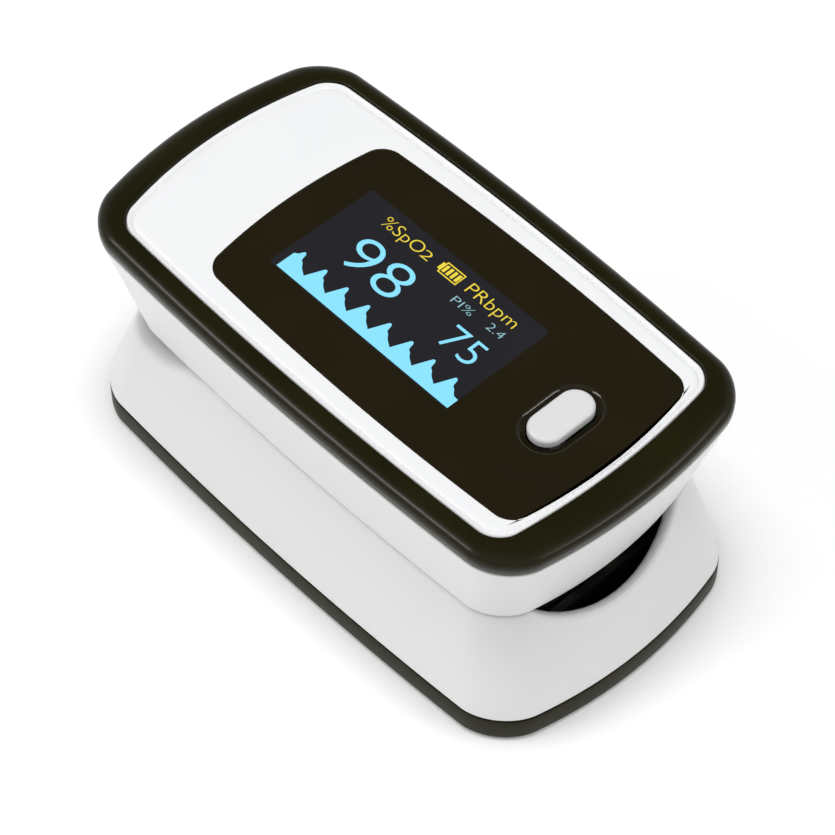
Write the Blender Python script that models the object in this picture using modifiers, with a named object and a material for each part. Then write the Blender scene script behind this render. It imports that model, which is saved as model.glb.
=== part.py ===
"""Fingertip pulse oximeter: two spring-closed jaws on a hinge pin.

The upper jaw carries a display and a button, and the lower one two AAA cells.

Metres, +Z up. The object stands on z = 0 with its length along Y: the finger goes in at -Y and the hinge is near +Y.
The origin is the middle of its underside.
"""

import math

import bmesh
import bpy
from mathutils import Matrix, Vector

MM = 0.001
GAP = 0.3 * MM  # between pieces that seat on or pass each other
SEAM = 0.15 * MM  # half of the parting line between the jaws, and the fit of trim in its recess
THROUGH = 4 * MM  # how far a cutter runs past what it cuts
BITE = 0.1 * MM  # how far a joined shape stays inside its neighbour's faces

# Outlines, each a rounded rectangle with bowed sides: (half width, half length, side bow, front bow, rear bow, radius)
BASE_OUTLINE = (16.71 * MM, 30.78 * MM, 1.0 * MM, 2.7 * MM, 2.5 * MM, 4.5 * MM)
WAIST_OUTLINE = (13.8 * MM, 26.2 * MM, 0.8 * MM, 2.0 * MM, 2.4 * MM, 4.2 * MM)
RIM_OUTLINE = (16.39 * MM, 30.27 * MM, 0.95 * MM, 2.1 * MM, 2.7 * MM, 4.4 * MM)
RIM_FACE_WIDTH = 2.28 * MM  # from the rim's outer side in to the white panel
LENS_OUTLINE = (11.8 * MM, 21.13 * MM, 0.68 * MM, 1.27 * MM, 1.15 * MM, 1.85 * MM)
LENS_Y = -4.88 * MM

# Heights
BAND_TOP = 2.93 * MM
PARTING_Z = 14.1 * MM
RIM_BOTTOM = 25.57 * MM
RIM_WIDEST = 26.45 * MM
RIM_TOP = 27.71 * MM
PANEL_TOP = 27.5 * MM

# Shells
CASE_WALL = 1.3 * MM
LEDGE_WIDTH = 3.4 * MM  # flange inside the top of the upper case that carries the rim and the panel
FLARE = 0.25  # how much of the lower case's flare comes early, just under the waist
BAND_WALL = 1.5 * MM
BASE_FLOOR = 1.3 * MM
MOUTH_HALF_WIDTH = 8.46 * MM
MOUTH_DEPTH = 3.47 * MM

# Hinge
PIVOT_Y = 19.0 * MM
PIVOT_Z = 15.5 * MM
PIN_RADIUS = 1.0 * MM
EAR_RADIUS = 1.8 * MM
EAR_THICKNESS = 1.3 * MM
UPPER_EAR_X = 7.6 * MM  # middle of each upper ear
PIN_END = 0.3 * MM  # how far the pin shows past the outer ears
GAP_START_Y = 14.0 * MM  # where the rear squeeze gap begins
GAP_FULL_Y = 21.0 * MM
SQUEEZE_GAP = 1.55 * MM  # lets the jaw open 11 degrees

# Cells and their contacts
CELL_RADIUS = 5.25 * MM
CELL_LENGTH = 44.5 * MM
NUB_LENGTH = 1.2 * MM
NUB_RADIUS = 1.9 * MM
CELL_SPACING = 11.2 * MM
CONTACT_SPRING_LENGTH = 2.5 * MM
CONTACT_WIRE = 0.45 * MM
CONTACT_PLATE = 0.4 * MM
CRADLE_WALL = 0.8 * MM
CRADLE_TOP = 8.8 * MM
CRADLE_CORNER = 2.0 * MM  # radius inside its corners
COVER_THICKNESS = 1.2 * MM
COVER_LIFT = 0.25 * MM  # the cover stays this far off the table

# Inner trays and finger pads
TRAY_THICKNESS = 0.8 * MM
LOWER_TRAY_Z = 12.6 * MM
UPPER_TRAY_Z = 20.6 * MM
TRAY_OUTLINE = (11.95 * MM, 24.1 * MM, 0.8 * MM, 2.0 * MM, 2.4 * MM, 4.4 * MM)
UPPER_TRAY_OUTLINE = (13.0 * MM, 25.6 * MM, 0.8 * MM, 2.0 * MM, 2.4 * MM, 4.6 * MM)
SKIRT_TOP = 15.3 * MM
SKIRT_WALL = 0.8 * MM
SKIRT_START_Y = 12.0 * MM
APRON_START_Y = -22.8 * MM
APRON_END = (-24.9 * MM, 10.0 * MM)
APRON_HALF_WIDTH = 8.2 * MM
PAD_HALF_WIDTH = 9.8 * MM
LOWER_PAD_HALF_WIDTH = 7.2 * MM
PAD_FRONT_Y = -23.6 * MM
PAD_REAR_Y = 10.0 * MM
LOWER_PAD_TOP = 15.6 * MM
PAD_MIN = 0.7 * MM  # silicone left under the finger
PAD_CURVE = 9.0 * MM  # radius of the finger's channel

# Electronics
BOARD_Z = 22.8 * MM
BOARD_SIZE = (19.0 * MM, 40.0 * MM, 0.8 * MM)
BOARD_Y = -2.4 * MM
DISPLAY_SIZE = (15.6 * MM, 27.4 * MM, 1.3 * MM)
DISPLAY_VIEW = (13.2 * MM, 24.4 * MM)
LENS_THICKNESS = 0.8 * MM
LENS_FLOOR = 26.4 * MM  # bottom of the lens's recess in the panel
SENSE_Y = -5.0 * MM
WINDOW_RADIUS = 2.2 * MM
FLEX_Y = 12.5 * MM
FLEX_WIDTH = 4.0 * MM
FLEX_THICKNESS = 0.3 * MM

# Power button
BUTTON_Y = -19.3 * MM
BUTTON_HALF_LENGTH = 3.75 * MM
BUTTON_HALF_WIDTH = 1.95 * MM
BUTTON_TOP = 28.1 * MM
BUTTON_TRAVEL = 0.5 * MM
STEM_RADIUS = 1.2 * MM

# Screws
SCREW_RADIUS = 0.6 * MM
HEAD_RADIUS = 1.15 * MM
HEAD_HEIGHT = 0.7 * MM
BOSS_RADIUS = 1.25 * MM
UPPER_SCREWS = (11.3 * MM, 19.0 * MM)
LOWER_SCREWS = (BASE_OUTLINE[0] - 3.41 * MM, 16.0 * MM)
UPPER_SCREW_LENGTH = 3.6 * MM
LOWER_SCREW_LENGTH = 5.0 * MM

WHITE = "#E4E4E4"
DARK = "#16150C"
BLACK = "#1A1A18"
SILICONE = "#23221F"
STEEL = "#B9BBBE"
BOARD_GREEN = "#1E5A38"


# ---------------------------------------------------------------- scene helpers


def clear_scene():
    for obj in list(bpy.data.objects):
        bpy.data.objects.remove(obj, do_unlink=True)


def new_collection(name):
    made = bpy.data.collections.new(name)
    bpy.context.scene.collection.children.link(made)
    return made


def srgb(hex_colour):
    """A hex colour as linear RGBA."""
    channels = [int(hex_colour[i : i + 2], 16) / 255 for i in (1, 3, 5)]
    return [c / 12.92 if c <= 0.04045 else ((c + 0.055) / 1.055) ** 2.4 for c in channels] + [1.0]


def finish(obj, colour, roughness, metallic=0.0):
    """Gives the object a material of its own and smooth shading with sharp edges kept."""
    made = bpy.data.materials.new(obj.name + "_finish")
    made.use_nodes = True
    shader = made.node_tree.nodes["Principled BSDF"]
    shader.inputs["Base Color"].default_value = srgb(colour)
    shader.inputs["Roughness"].default_value = roughness
    shader.inputs["Metallic"].default_value = metallic
    obj.data.materials.append(made)
    obj.data.shade_smooth()
    obj.data.set_sharp_from_angle(angle=math.radians(35))
    return obj


def object_from(name, mesh_builder, collection):
    """Links a new mesh object that holds what is in a bmesh, and frees the bmesh."""
    bmesh.ops.recalc_face_normals(mesh_builder, faces=mesh_builder.faces)
    mesh = bpy.data.meshes.new(name)
    mesh_builder.to_mesh(mesh)
    mesh_builder.free()
    obj = bpy.data.objects.new(name, mesh)
    collection.objects.link(obj)
    return obj


def hide(obj):
    obj.hide_render = True
    obj.display_type = "WIRE"
    return obj


def boolean(obj, other, operation="DIFFERENCE", solver="EXACT"):
    """Adds a Boolean. solver is MANIFOLD where EXACT leaves a face with many holes open."""
    hide(other)
    modifier = obj.modifiers.new(operation.title() + "_" + other.name, "BOOLEAN")
    modifier.operation = operation
    modifier.solver = solver
    modifier.object = other
    return obj


def thicken(obj, thickness):
    """Solidify inward, keeping the true wall round corners."""
    modifier = obj.modifiers.new("Wall", "SOLIDIFY")
    modifier.thickness = thickness
    modifier.offset = -1
    modifier.use_even_offset = True
    return obj


def jaw(name, place):
    """An empty that carries pieces; it sits on their joint's axis."""
    empty = bpy.data.objects.new(name, None)
    empty.location = place
    PARTS.objects.link(empty)
    return empty


def carry(empty, *pieces):
    """Parents pieces to an empty where they stand."""
    for piece in pieces:
        piece.parent = empty
        piece.matrix_parent_inverse = Matrix.Translation(-Vector(empty.location))


# ---------------------------------------------------------------- shape helpers


def outline(shape, corner_steps=5, side_steps=4):
    """Points of a rounded rectangle whose sides are bowed, anticlockwise."""
    half_width, half_length, side_bow, front_bow, rear_bow, radius = shape
    corners = [(1, 1, 0), (-1, 1, 90), (-1, -1, 180), (1, -1, 270)]
    flat = []
    for sign_x, sign_y, first in corners:
        centre = (sign_x * (half_width - radius), sign_y * (half_length - radius))
        for step in range(corner_steps + 1):
            angle = math.radians(first + 90 * step / corner_steps)
            flat.append((centre[0] + radius * math.cos(angle), centre[1] + radius * math.sin(angle)))
    points = []
    for index, here in enumerate(flat):
        after = flat[(index + 1) % len(flat)]
        at_side = index % (corner_steps + 1) == corner_steps
        parts = side_steps if at_side else 1
        for step in range(parts):
            share = step / parts
            points.append((here[0] + share * (after[0] - here[0]), here[1] + share * (after[1] - here[1])))
    bowed = []
    for x, y in points:
        end_bow = front_bow if y < 0 else rear_bow
        bowed.append(
            (
                x * (1 - side_bow / half_width * (y / half_length) ** 2),
                y * (1 - end_bow / half_length * (x / half_width) ** 2),
            )
        )
    return bowed


def inset(shape, distance):
    """The same outline this far inside, or outside where the distance is negative."""
    half_width, half_length, side_bow, front_bow, rear_bow, radius = shape
    return (
        half_width - distance,
        half_length - distance,
        side_bow,
        front_bow,
        rear_bow,
        max(radius - distance, 0.3 * MM),
    )


def between(first, second, share):
    """An outline that lies this share of the way from one outline to another."""
    return tuple(a + share * (b - a) for a, b in zip(first, second))


def loft(name, sections, collection, ends="caps", centre_y=0.0):
    """Joins outlines at heights: [(shape, z), ...]. ends is caps, open, or ring, which joins the last to the first."""
    builder = bmesh.new()
    rings = []
    for shape, z in sections:
        rings.append([builder.verts.new((x, y + centre_y, z)) for x, y in outline(shape)])
    pairs = list(zip(rings, rings[1:]))
    if ends == "ring":
        pairs.append((rings[-1], rings[0]))
    for lower, upper in pairs:
        for index in range(len(lower)):
            after = (index + 1) % len(lower)
            builder.faces.new((lower[index], lower[after], upper[after], upper[index]))
    if ends == "caps":
        builder.faces.new(list(reversed(rings[0])))
        builder.faces.new(rings[-1])
    return object_from(name, builder, collection)


def box(name, low, high, collection, round_edges=0.0):
    """A block from its lowest corner to its highest, with its upright edges rounded."""
    builder = bmesh.new()
    bmesh.ops.create_cube(builder, size=1.0)
    size = Vector(high) - Vector(low)
    middle = (Vector(high) + Vector(low)) / 2
    bmesh.ops.scale(builder, vec=size, verts=builder.verts)
    bmesh.ops.translate(builder, vec=middle, verts=builder.verts)
    if round_edges:
        upright = [e for e in builder.edges if abs(e.verts[0].co.z - e.verts[1].co.z) > size.z / 2]
        bmesh.ops.bevel(
            builder, geom=upright, offset=round_edges, segments=4, profile=0.5, affect="EDGES"
        )
    return object_from(name, builder, collection)


def cylinder(name, radius, start, end, collection, segments=24, end_radius=None):
    """A solid round bar, or a cone, from one point to another."""
    start, end = Vector(start), Vector(end)
    builder = bmesh.new()
    bmesh.ops.create_cone(
        builder,
        cap_ends=True,
        segments=segments,
        radius1=radius,
        radius2=radius if end_radius is None else end_radius,
        depth=(end - start).length,
    )
    half_step = Matrix.Rotation(math.pi / segments, 4, "Z")
    turn = (end - start).to_track_quat("Z", "Y").to_matrix().to_4x4() @ half_step
    bmesh.ops.transform(builder, matrix=Matrix.Translation((start + end) / 2) @ turn, verts=builder.verts)
    return object_from(name, builder, collection)


def mesh_from_curve(name, curve, turn, collection):
    """Turns a curve into a welded mesh object in world coordinates."""
    source = bpy.data.objects.new(name + "_curve", curve)
    source.matrix_world = turn
    bpy.context.scene.collection.objects.link(source)
    bpy.context.view_layer.update()
    mesh = bpy.data.meshes.new_from_object(source.evaluated_get(bpy.context.evaluated_depsgraph_get()))
    builder = bmesh.new()
    builder.from_mesh(mesh)
    bmesh.ops.transform(builder, matrix=turn, verts=builder.verts)
    bmesh.ops.remove_doubles(builder, verts=builder.verts, dist=1e-6)
    bpy.data.objects.remove(source, do_unlink=True)
    bpy.data.meshes.remove(mesh)
    return object_from(name, builder, collection)


def side_profile(name, points, half_width, collection, centre_x=0.0):
    """A flat outline in the YZ plane, given as (y, z) points, made this thick along X."""
    curve = bpy.data.curves.new(name, "CURVE")
    curve.dimensions = "2D"
    curve.fill_mode = "BOTH"
    curve.extrude = half_width
    spline = curve.splines.new("POLY")
    spline.points.add(len(points) - 1)
    for point, (y, z) in zip(spline.points, points):
        point.co = (y, z, 0, 1)
    spline.use_cyclic_u = True
    # The curve's own X, Y and Z become the object's Y, Z and X.
    turn = Matrix(((0, 0, 1, centre_x), (1, 0, 0, 0), (0, 1, 0, 0), (0, 0, 0, 1)))
    return mesh_from_curve(name, curve, turn, collection)


def wire(name, points, radius, collection):
    """A round wire along points, with closed ends."""
    curve = bpy.data.curves.new(name, "CURVE")
    curve.dimensions = "3D"
    curve.bevel_depth = radius
    curve.bevel_resolution = 1
    curve.use_fill_caps = True
    spline = curve.splines.new("POLY")
    spline.points.add(len(points) - 1)
    for point, place in zip(spline.points, points):
        point.co = (*place, 1)
    return mesh_from_curve(name, curve, Matrix.Identity(4), collection)


def stadium(name, half_length, half_width, low, high, centre_y, collection):
    """An upright block with round ends, its length along X."""
    shape = (half_length, half_width, 0, 0, 0, half_width)
    builder = bmesh.new()
    rings = [[builder.verts.new((x, y + centre_y, z)) for x, y in outline(shape, 6, 1)] for z in (low, high)]
    bmesh.ops.remove_doubles(builder, verts=builder.verts, dist=1e-7)
    rings = [[v for v in ring if v.is_valid] for ring in rings]
    bottom, top = rings
    for index in range(len(bottom)):
        after = (index + 1) % len(bottom)
        builder.faces.new((bottom[index], bottom[after], top[after], top[index]))
    builder.faces.new(list(reversed(bottom)))
    builder.faces.new(top)
    return object_from(name, builder, collection)


# ---------------------------------------------------------------- upper jaw


def upper_case():
    """White moulded shell: a tapered wall with an inner ledge at its top and four screw bosses."""
    under_rim = RIM_BOTTOM - GAP
    top = inset(RIM_OUTLINE, SEAM)
    sections = [(WAIST_OUTLINE, PARTING_Z + SEAM)]
    for share in (0.35, 0.7, 1.0):
        z = PARTING_Z + SEAM + share * (under_rim - PARTING_Z - SEAM)
        sections.append((between(WAIST_OUTLINE, top, share), z))
    sections.append((inset(top, LEDGE_WIDTH), under_rim))
    case = thicken(loft("upper_case", sections, PARTS, ends="open"), CASE_WALL)
    boss_bottom = UPPER_TRAY_Z + TRAY_THICKNESS + GAP
    for number, (x, y) in enumerate(corner_places(UPPER_SCREWS)):
        boss = cylinder(
            f"upper_boss_{number}",
            BOSS_RADIUS,
            (x, y, boss_bottom),
            (x, y, under_rim - CASE_WALL / 2),
            CUTTERS,
            segments=16,
        )
        boolean(case, boss, "UNION")
        bore_top = boss_bottom + UPPER_SCREW_LENGTH - TRAY_THICKNESS
        bore = cylinder(
            f"upper_bore_{number}",
            SCREW_RADIUS + GAP,
            (x, y, boss_bottom - THROUGH),
            (x, y, bore_top),
            CUTTERS,
            segments=16,
        )
        boolean(case, bore)
    return finish(case, WHITE, 0.3)


def rim_band():
    """Glossy dark bezel: it rolls from the panel's edge over to a short upright side."""
    roll_height = RIM_TOP - RIM_WIDEST
    sections = [(inset(RIM_OUTLINE, RIM_FACE_WIDTH), RIM_BOTTOM)]
    steps = 5
    for step in range(steps + 1):
        angle = math.radians(90 * (1 - step / steps))
        run_in = RIM_FACE_WIDTH * (1 - math.cos(angle))
        sections.append((inset(RIM_OUTLINE, run_in), RIM_WIDEST + roll_height * math.sin(angle)))
    sections.append((RIM_OUTLINE, RIM_BOTTOM))
    return finish(loft("rim_band", sections, PARTS, ends="ring"), DARK, 0.15)


def top_panel():
    """White cover plate inside the rim, recessed for the lens and cut for the display and the button's stem."""
    edge = inset(RIM_OUTLINE, RIM_FACE_WIDTH + SEAM)
    panel = loft("top_panel", [(edge, RIM_BOTTOM), (edge, PANEL_TOP)], PARTS)
    recess = loft(
        "lens_recess",
        [(inset(LENS_OUTLINE, -SEAM), LENS_FLOOR), (inset(LENS_OUTLINE, -SEAM), PANEL_TOP + THROUGH)],
        CUTTERS,
        centre_y=LENS_Y,
    )
    boolean(panel, recess)
    half_x = DISPLAY_SIZE[0] / 2 + GAP
    half_y = DISPLAY_SIZE[1] / 2 + GAP
    window = box(
        "display_window",
        (-half_x, -half_y, RIM_BOTTOM - THROUGH),
        (half_x, half_y, PANEL_TOP + THROUGH),
        CUTTERS,
    )
    boolean(panel, window)
    stem_hole = cylinder(
        "stem_hole",
        STEM_RADIUS + GAP,
        (0, BUTTON_Y, RIM_BOTTOM - THROUGH),
        (0, BUTTON_Y, PANEL_TOP + THROUGH),
        CUTTERS,
    )
    boolean(panel, stem_hole)
    return finish(panel, "#F0F1F3", 0.12)


def display_lens():
    """Dark window over the display, with a slot for the button."""
    low = PANEL_TOP - LENS_THICKNESS
    lens = loft("display_lens", [(LENS_OUTLINE, low), (LENS_OUTLINE, PANEL_TOP)], PARTS, centre_y=LENS_Y)
    slot = stadium(
        "button_slot",
        BUTTON_HALF_LENGTH + GAP,
        BUTTON_HALF_WIDTH + GAP,
        low - THROUGH,
        PANEL_TOP + THROUGH,
        BUTTON_Y,
        CUTTERS,
    )
    boolean(lens, slot)
    return finish(lens, "#1C1810", 0.1)


def power_button():
    """White push cap with a stem that reaches the switch under the panel."""
    cap_low = LENS_FLOOR + BUTTON_TRAVEL + SEAM
    cap = stadium(
        "power_button", BUTTON_HALF_LENGTH, BUTTON_HALF_WIDTH, cap_low, BUTTON_TOP, BUTTON_Y, PARTS
    )
    stem = cylinder(
        "button_stem",
        STEM_RADIUS,
        (0, BUTTON_Y, switch_top() + BUTTON_TRAVEL + SEAM),
        (0, BUTTON_Y, BUTTON_TOP - GAP),
        CUTTERS,
    )
    boolean(cap, stem, "UNION")
    return finish(cap, WHITE, 0.25)


def display_module():
    low = BOARD_Z + BOARD_SIZE[2] + 2 * GAP
    half_x, half_y = DISPLAY_SIZE[0] / 2, DISPLAY_SIZE[1] / 2
    glass = box("display_module", (-half_x, -half_y, low), (half_x, half_y, low + DISPLAY_SIZE[2]), PARTS)
    return finish(glass, "#202226", 0.08)


def display_gasket():
    """Foam frame between the display's glass and the lens."""
    low = BOARD_Z + BOARD_SIZE[2] + 2 * GAP + DISPLAY_SIZE[2] + SEAM
    high = PANEL_TOP - LENS_THICKNESS - SEAM
    half_x, half_y = DISPLAY_SIZE[0] / 2, DISPLAY_SIZE[1] / 2
    frame = box("display_gasket", (-half_x, -half_y, low), (half_x, half_y, high), PARTS)
    view_x, view_y = DISPLAY_VIEW[0] / 2, DISPLAY_VIEW[1] / 2
    hole = box(
        "gasket_hole", (-view_x, -view_y, low - THROUGH), (view_x, view_y, high + THROUGH), CUTTERS
    )
    boolean(frame, hole)
    return finish(frame, BLACK, 0.9)


def main_board():
    half_x, half_y = BOARD_SIZE[0] / 2, BOARD_SIZE[1] / 2
    board = box(
        "main_board",
        (-half_x, BOARD_Y - half_y, BOARD_Z),
        (half_x, BOARD_Y + half_y, BOARD_Z + BOARD_SIZE[2]),
        PARTS,
        round_edges=1.5 * MM,
    )
    return finish(board, BOARD_GREEN, 0.45)


def processor_chip():
    """Square package on the underside of the main board."""
    half, thick = 2.5 * MM, 0.8 * MM
    middle = 2.5 * MM
    high = BOARD_Z - 0.1 * MM
    chip = box(
        "processor_chip", (-half, middle - half, high - thick), (half, middle + half, high), PARTS
    )
    return finish(chip, BLACK, 0.5)


def switch_top():
    """Top of the tact switch's plunger, which the button's stem presses."""
    return BOARD_Z + BOARD_SIZE[2] + SEAM + 1.6 * MM


def tact_switch():
    """Small surface switch with a round plunger."""
    low = BOARD_Z + BOARD_SIZE[2] + SEAM
    half_x, half_y, height = 2.3 * MM, 1.75 * MM, 1.1 * MM
    body = box(
        "tact_switch",
        (-half_x, BUTTON_Y - half_y, low),
        (half_x, BUTTON_Y + half_y, low + height),
        PARTS,
    )
    plunger = cylinder(
        "switch_plunger",
        0.9 * MM,
        (0, BUTTON_Y, low + height / 2),
        (0, BUTTON_Y, switch_top()),
        CUTTERS,
        segments=16,
    )
    boolean(body, plunger, "UNION")
    return finish(body, STEEL, 0.4, 0.6)


def hinge_ears(name, tray, ear_x, base_z):
    """Two ears on a tray, with the pin's bore through them. base_z lies inside the tray's plate."""
    for side in (-1, 1):
        points = [(PIVOT_Y - EAR_RADIUS, base_z), (PIVOT_Y + EAR_RADIUS, base_z)]
        up = 1 if base_z < PIVOT_Z else -1
        for step in range(9):
            angle = math.radians(180 * step / 8)
            points.append(
                (PIVOT_Y + EAR_RADIUS * math.cos(angle), PIVOT_Z + up * EAR_RADIUS * math.sin(angle))
            )
        ear = side_profile(f"{name}_ear_{side + 1}", points, EAR_THICKNESS / 2, CUTTERS, side * ear_x)
        boolean(tray, ear, "UNION")
    reach = ear_x + EAR_THICKNESS
    bore = cylinder(
        name + "_bore",
        PIN_RADIUS + GAP,
        (-reach, PIVOT_Y, PIVOT_Z),
        (reach, PIVOT_Y, PIVOT_Z),
        CUTTERS,
    )
    boolean(tray, bore)


def tray_holes(name, tray, low, high):
    """The light hole and the ribbon's slot through a tray's plate."""
    light = cylinder(
        name + "_light_hole", WINDOW_RADIUS + GAP, (0, SENSE_Y, low), (0, SENSE_Y, high), CUTTERS
    )
    boolean(tray, light)
    half_x = FLEX_WIDTH / 2 + 2 * GAP
    half_y = FLEX_THICKNESS / 2 + 3 * GAP
    slot = box(
        name + "_ribbon_slot",
        (-half_x, FLEX_Y - half_y, low),
        (half_x, FLEX_Y + half_y, high),
        CUTTERS,
    )
    boolean(tray, slot)


def upper_tray():
    """Inner plate of the upper jaw: it carries the pad and hangs on the pin by two ears."""
    top = UPPER_TRAY_Z + TRAY_THICKNESS
    tray = loft("upper_tray", [(UPPER_TRAY_OUTLINE, UPPER_TRAY_Z), (UPPER_TRAY_OUTLINE, top)], PARTS)
    hinge_ears("upper_tray", tray, UPPER_EAR_X, UPPER_TRAY_Z + TRAY_THICKNESS / 2)
    tray_holes("upper_tray", tray, UPPER_TRAY_Z - THROUGH / 4, top + THROUGH / 4)
    for number, (x, y) in enumerate(corner_places(UPPER_SCREWS)):
        hole = cylinder(
            f"tray_screw_hole_{number}",
            SCREW_RADIUS + GAP,
            (x, y, UPPER_TRAY_Z - THROUGH),
            (x, y, top + THROUGH),
            CUTTERS,
            segments=16,
        )
        boolean(tray, hole)
    return finish(tray, BLACK, 0.5)


def upper_finger_pad():
    """Soft pad over the nail side of the finger, hollowed along its length."""
    high = UPPER_TRAY_Z - GAP
    low = LOWER_PAD_TOP + GAP
    pad = box(
        "upper_finger_pad",
        (-PAD_HALF_WIDTH, PAD_FRONT_Y, low),
        (PAD_HALF_WIDTH, PAD_REAR_Y, high),
        PARTS,
        round_edges=2.0 * MM,
    )
    centre_z = high - PAD_MIN - PAD_CURVE
    finger_channel(pad, "upper_channel", centre_z)
    light_hole(pad, "upper_pad_hole", low, high)
    return finish(pad, SILICONE, 0.7)


def finger_channel(pad, name, centre_z):
    channel = cylinder(
        name,
        PAD_CURVE,
        (0, PAD_FRONT_Y - THROUGH, centre_z),
        (0, PAD_REAR_Y + THROUGH, centre_z),
        CUTTERS,
        segments=48,
    )
    boolean(pad, channel)


def light_hole(pad, name, low, high):
    hole = cylinder(
        name,
        WINDOW_RADIUS + GAP,
        (0, SENSE_Y, low - THROUGH),
        (0, SENSE_Y, high + THROUGH),
        CUTTERS,
    )
    boolean(pad, hole)


def emitter_board():
    half_x, half_y = 4.0 * MM, 2.7 * MM
    low = UPPER_TRAY_Z + TRAY_THICKNESS + GAP
    board = box(
        "emitter_board",
        (-half_x, SENSE_Y - half_y, low),
        (half_x, SENSE_Y + half_y, BOARD_Z - GAP),
        PARTS,
    )
    return finish(board, BOARD_GREEN, 0.45)


def emitter_led():
    """Red and infrared light source, in the hole of the upper tray."""
    half_x, half_y = 1.6 * MM, 1.2 * MM
    led = box(
        "emitter_led",
        (-half_x, SENSE_Y - half_y, UPPER_TRAY_Z + SEAM),
        (half_x, SENSE_Y + half_y, UPPER_TRAY_Z + TRAY_THICKNESS + SEAM),
        PARTS,
    )
    return finish(led, "#D8D4C4", 0.3)


def light_window(name, low, high):
    """Clear disc that closes a pad's light hole."""
    disc = cylinder(name, WINDOW_RADIUS, (0, SENSE_Y, low), (0, SENSE_Y, high), PARTS)
    return finish(disc, "#3A1512", 0.1)


# ---------------------------------------------------------------- lower jaw


def lower_section(share):
    """The lower case's outline this share of the way down from the waist to the base."""
    eased = share * (1 + FLARE) - FLARE * share * share
    return between(WAIST_OUTLINE, BASE_OUTLINE, eased)


def lower_case():
    """White moulded shell: it flares from the waist to the base, with the finger's mouth and the rear squeeze gap."""
    high, low = PARTING_Z - SEAM, BAND_TOP + GAP
    sections = [(lower_section(s), high + s * (low - high)) for s in (0, 0.2, 0.45, 0.7, 1)]
    sections.append((BASE_OUTLINE, low - 2 * GAP))
    case = thicken(loft("lower_case", sections, PARTS, ends="open"), CASE_WALL)
    reach_x, reach_y = BASE_OUTLINE[0] + THROUGH, BASE_OUTLINE[1] + THROUGH
    trim = box("case_trim", (-reach_x, -reach_y, low - THROUGH), (reach_x, reach_y, low), CUTTERS)
    boolean(case, trim)
    for number, (x, y) in enumerate(corner_places(LOWER_SCREWS)):
        boss_low = BASE_FLOOR + GAP
        boss_high = boss_low + LOWER_SCREW_LENGTH + 2.5 * MM
        boss = cylinder(
            f"lower_boss_{number}", BOSS_RADIUS, (x, y, boss_low), (x, y, boss_high), CUTTERS, segments=16
        )
        boolean(case, boss, "UNION")
        bore = cylinder(
            f"lower_bore_{number}",
            SCREW_RADIUS + GAP,
            (x, y, boss_low - THROUGH),
            (x, y, boss_low + LOWER_SCREW_LENGTH),
            CUTTERS,
            segments=16,
        )
        boolean(case, bore)
    boolean(case, mouth_cutter())
    boolean(case, squeeze_gap_cutter())
    return finish(case, WHITE, 0.3)


def mouth_cutter():
    """A wide bar whose underside is the arc of the finger's mouth."""
    radius = (MOUTH_HALF_WIDTH**2 + MOUTH_DEPTH**2) / (2 * MOUTH_DEPTH)
    centre_z = PARTING_Z - MOUTH_DEPTH + radius
    front = BASE_OUTLINE[1] + THROUGH
    inner = WAIST_OUTLINE[1] / 2
    return cylinder("mouth_cutter", radius, (0, -front, centre_z), (0, -inner, centre_z), CUTTERS, segments=64)


def squeeze_gap_cutter():
    """What is cut from the rear of the lower case's edge, so that the upper jaw's rear can tip down into it."""
    above = PARTING_Z + THROUGH
    rear = BASE_OUTLINE[1] + THROUGH
    points = [(GAP_START_Y, above)]
    steps = 6
    for step in range(steps + 1):
        share = step / steps
        eased = share * share * (3 - 2 * share)
        points.append((GAP_START_Y + share * (GAP_FULL_Y - GAP_START_Y), PARTING_Z - eased * SQUEEZE_GAP))
    points += [(rear, PARTING_Z - SQUEEZE_GAP), (rear, above)]
    return side_profile("squeeze_gap_cutter", points, BASE_OUTLINE[0] + THROUGH, CUTTERS)


def foot_solid(name, low, collection):
    """The base's full shape from this height up to the band's top, slightly rounded under."""
    tuck = 0.5 * MM
    sections = [(inset(BASE_OUTLINE, tuck), low), (BASE_OUTLINE, low + tuck * 2), (BASE_OUTLINE, BAND_TOP)]
    return loft(name, sections, collection)


def door_half_width():
    """Half the width of the hole in the base that the battery cover fills."""
    return CELL_SPACING / 2 + CELL_RADIUS


def door_front_y():
    return -contact_end() + CRADLE_WALL


def base_band():
    """Dark base: a floor with the cover's opening, and the band that shows round the foot."""
    band = foot_solid("base_band", 0.0, PARTS)
    pocket = loft(
        "band_pocket",
        [(inset(BASE_OUTLINE, BAND_WALL), BASE_FLOOR), (inset(BASE_OUTLINE, BAND_WALL), BAND_TOP + THROUGH)],
        CUTTERS,
    )
    boolean(band, pocket)
    half = door_half_width()
    opening = box(
        "door_opening",
        (-half - GAP, door_front_y() - GAP, -THROUGH),
        (half + GAP, BASE_OUTLINE[1] + THROUGH, BAND_TOP + THROUGH),
        CUTTERS,
    )
    boolean(band, opening)
    for number, (x, y) in enumerate(corner_places(LOWER_SCREWS)):
        hole = cylinder(
            f"base_screw_hole_{number}",
            SCREW_RADIUS + GAP,
            (x, y, -THROUGH),
            (x, y, BASE_FLOOR + THROUGH),
            CUTTERS,
            segments=16,
        )
        boolean(band, hole, solver="MANIFOLD")
        seat = cylinder(
            f"base_screw_seat_{number}",
            HEAD_RADIUS + GAP / 2,
            (x, y, -THROUGH),
            (x, y, HEAD_HEIGHT + COVER_LIFT),
            CUTTERS,
            segments=16,
        )
        boolean(band, seat, solver="MANIFOLD")
    return finish(band, "#3A3828", 0.35)


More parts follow.
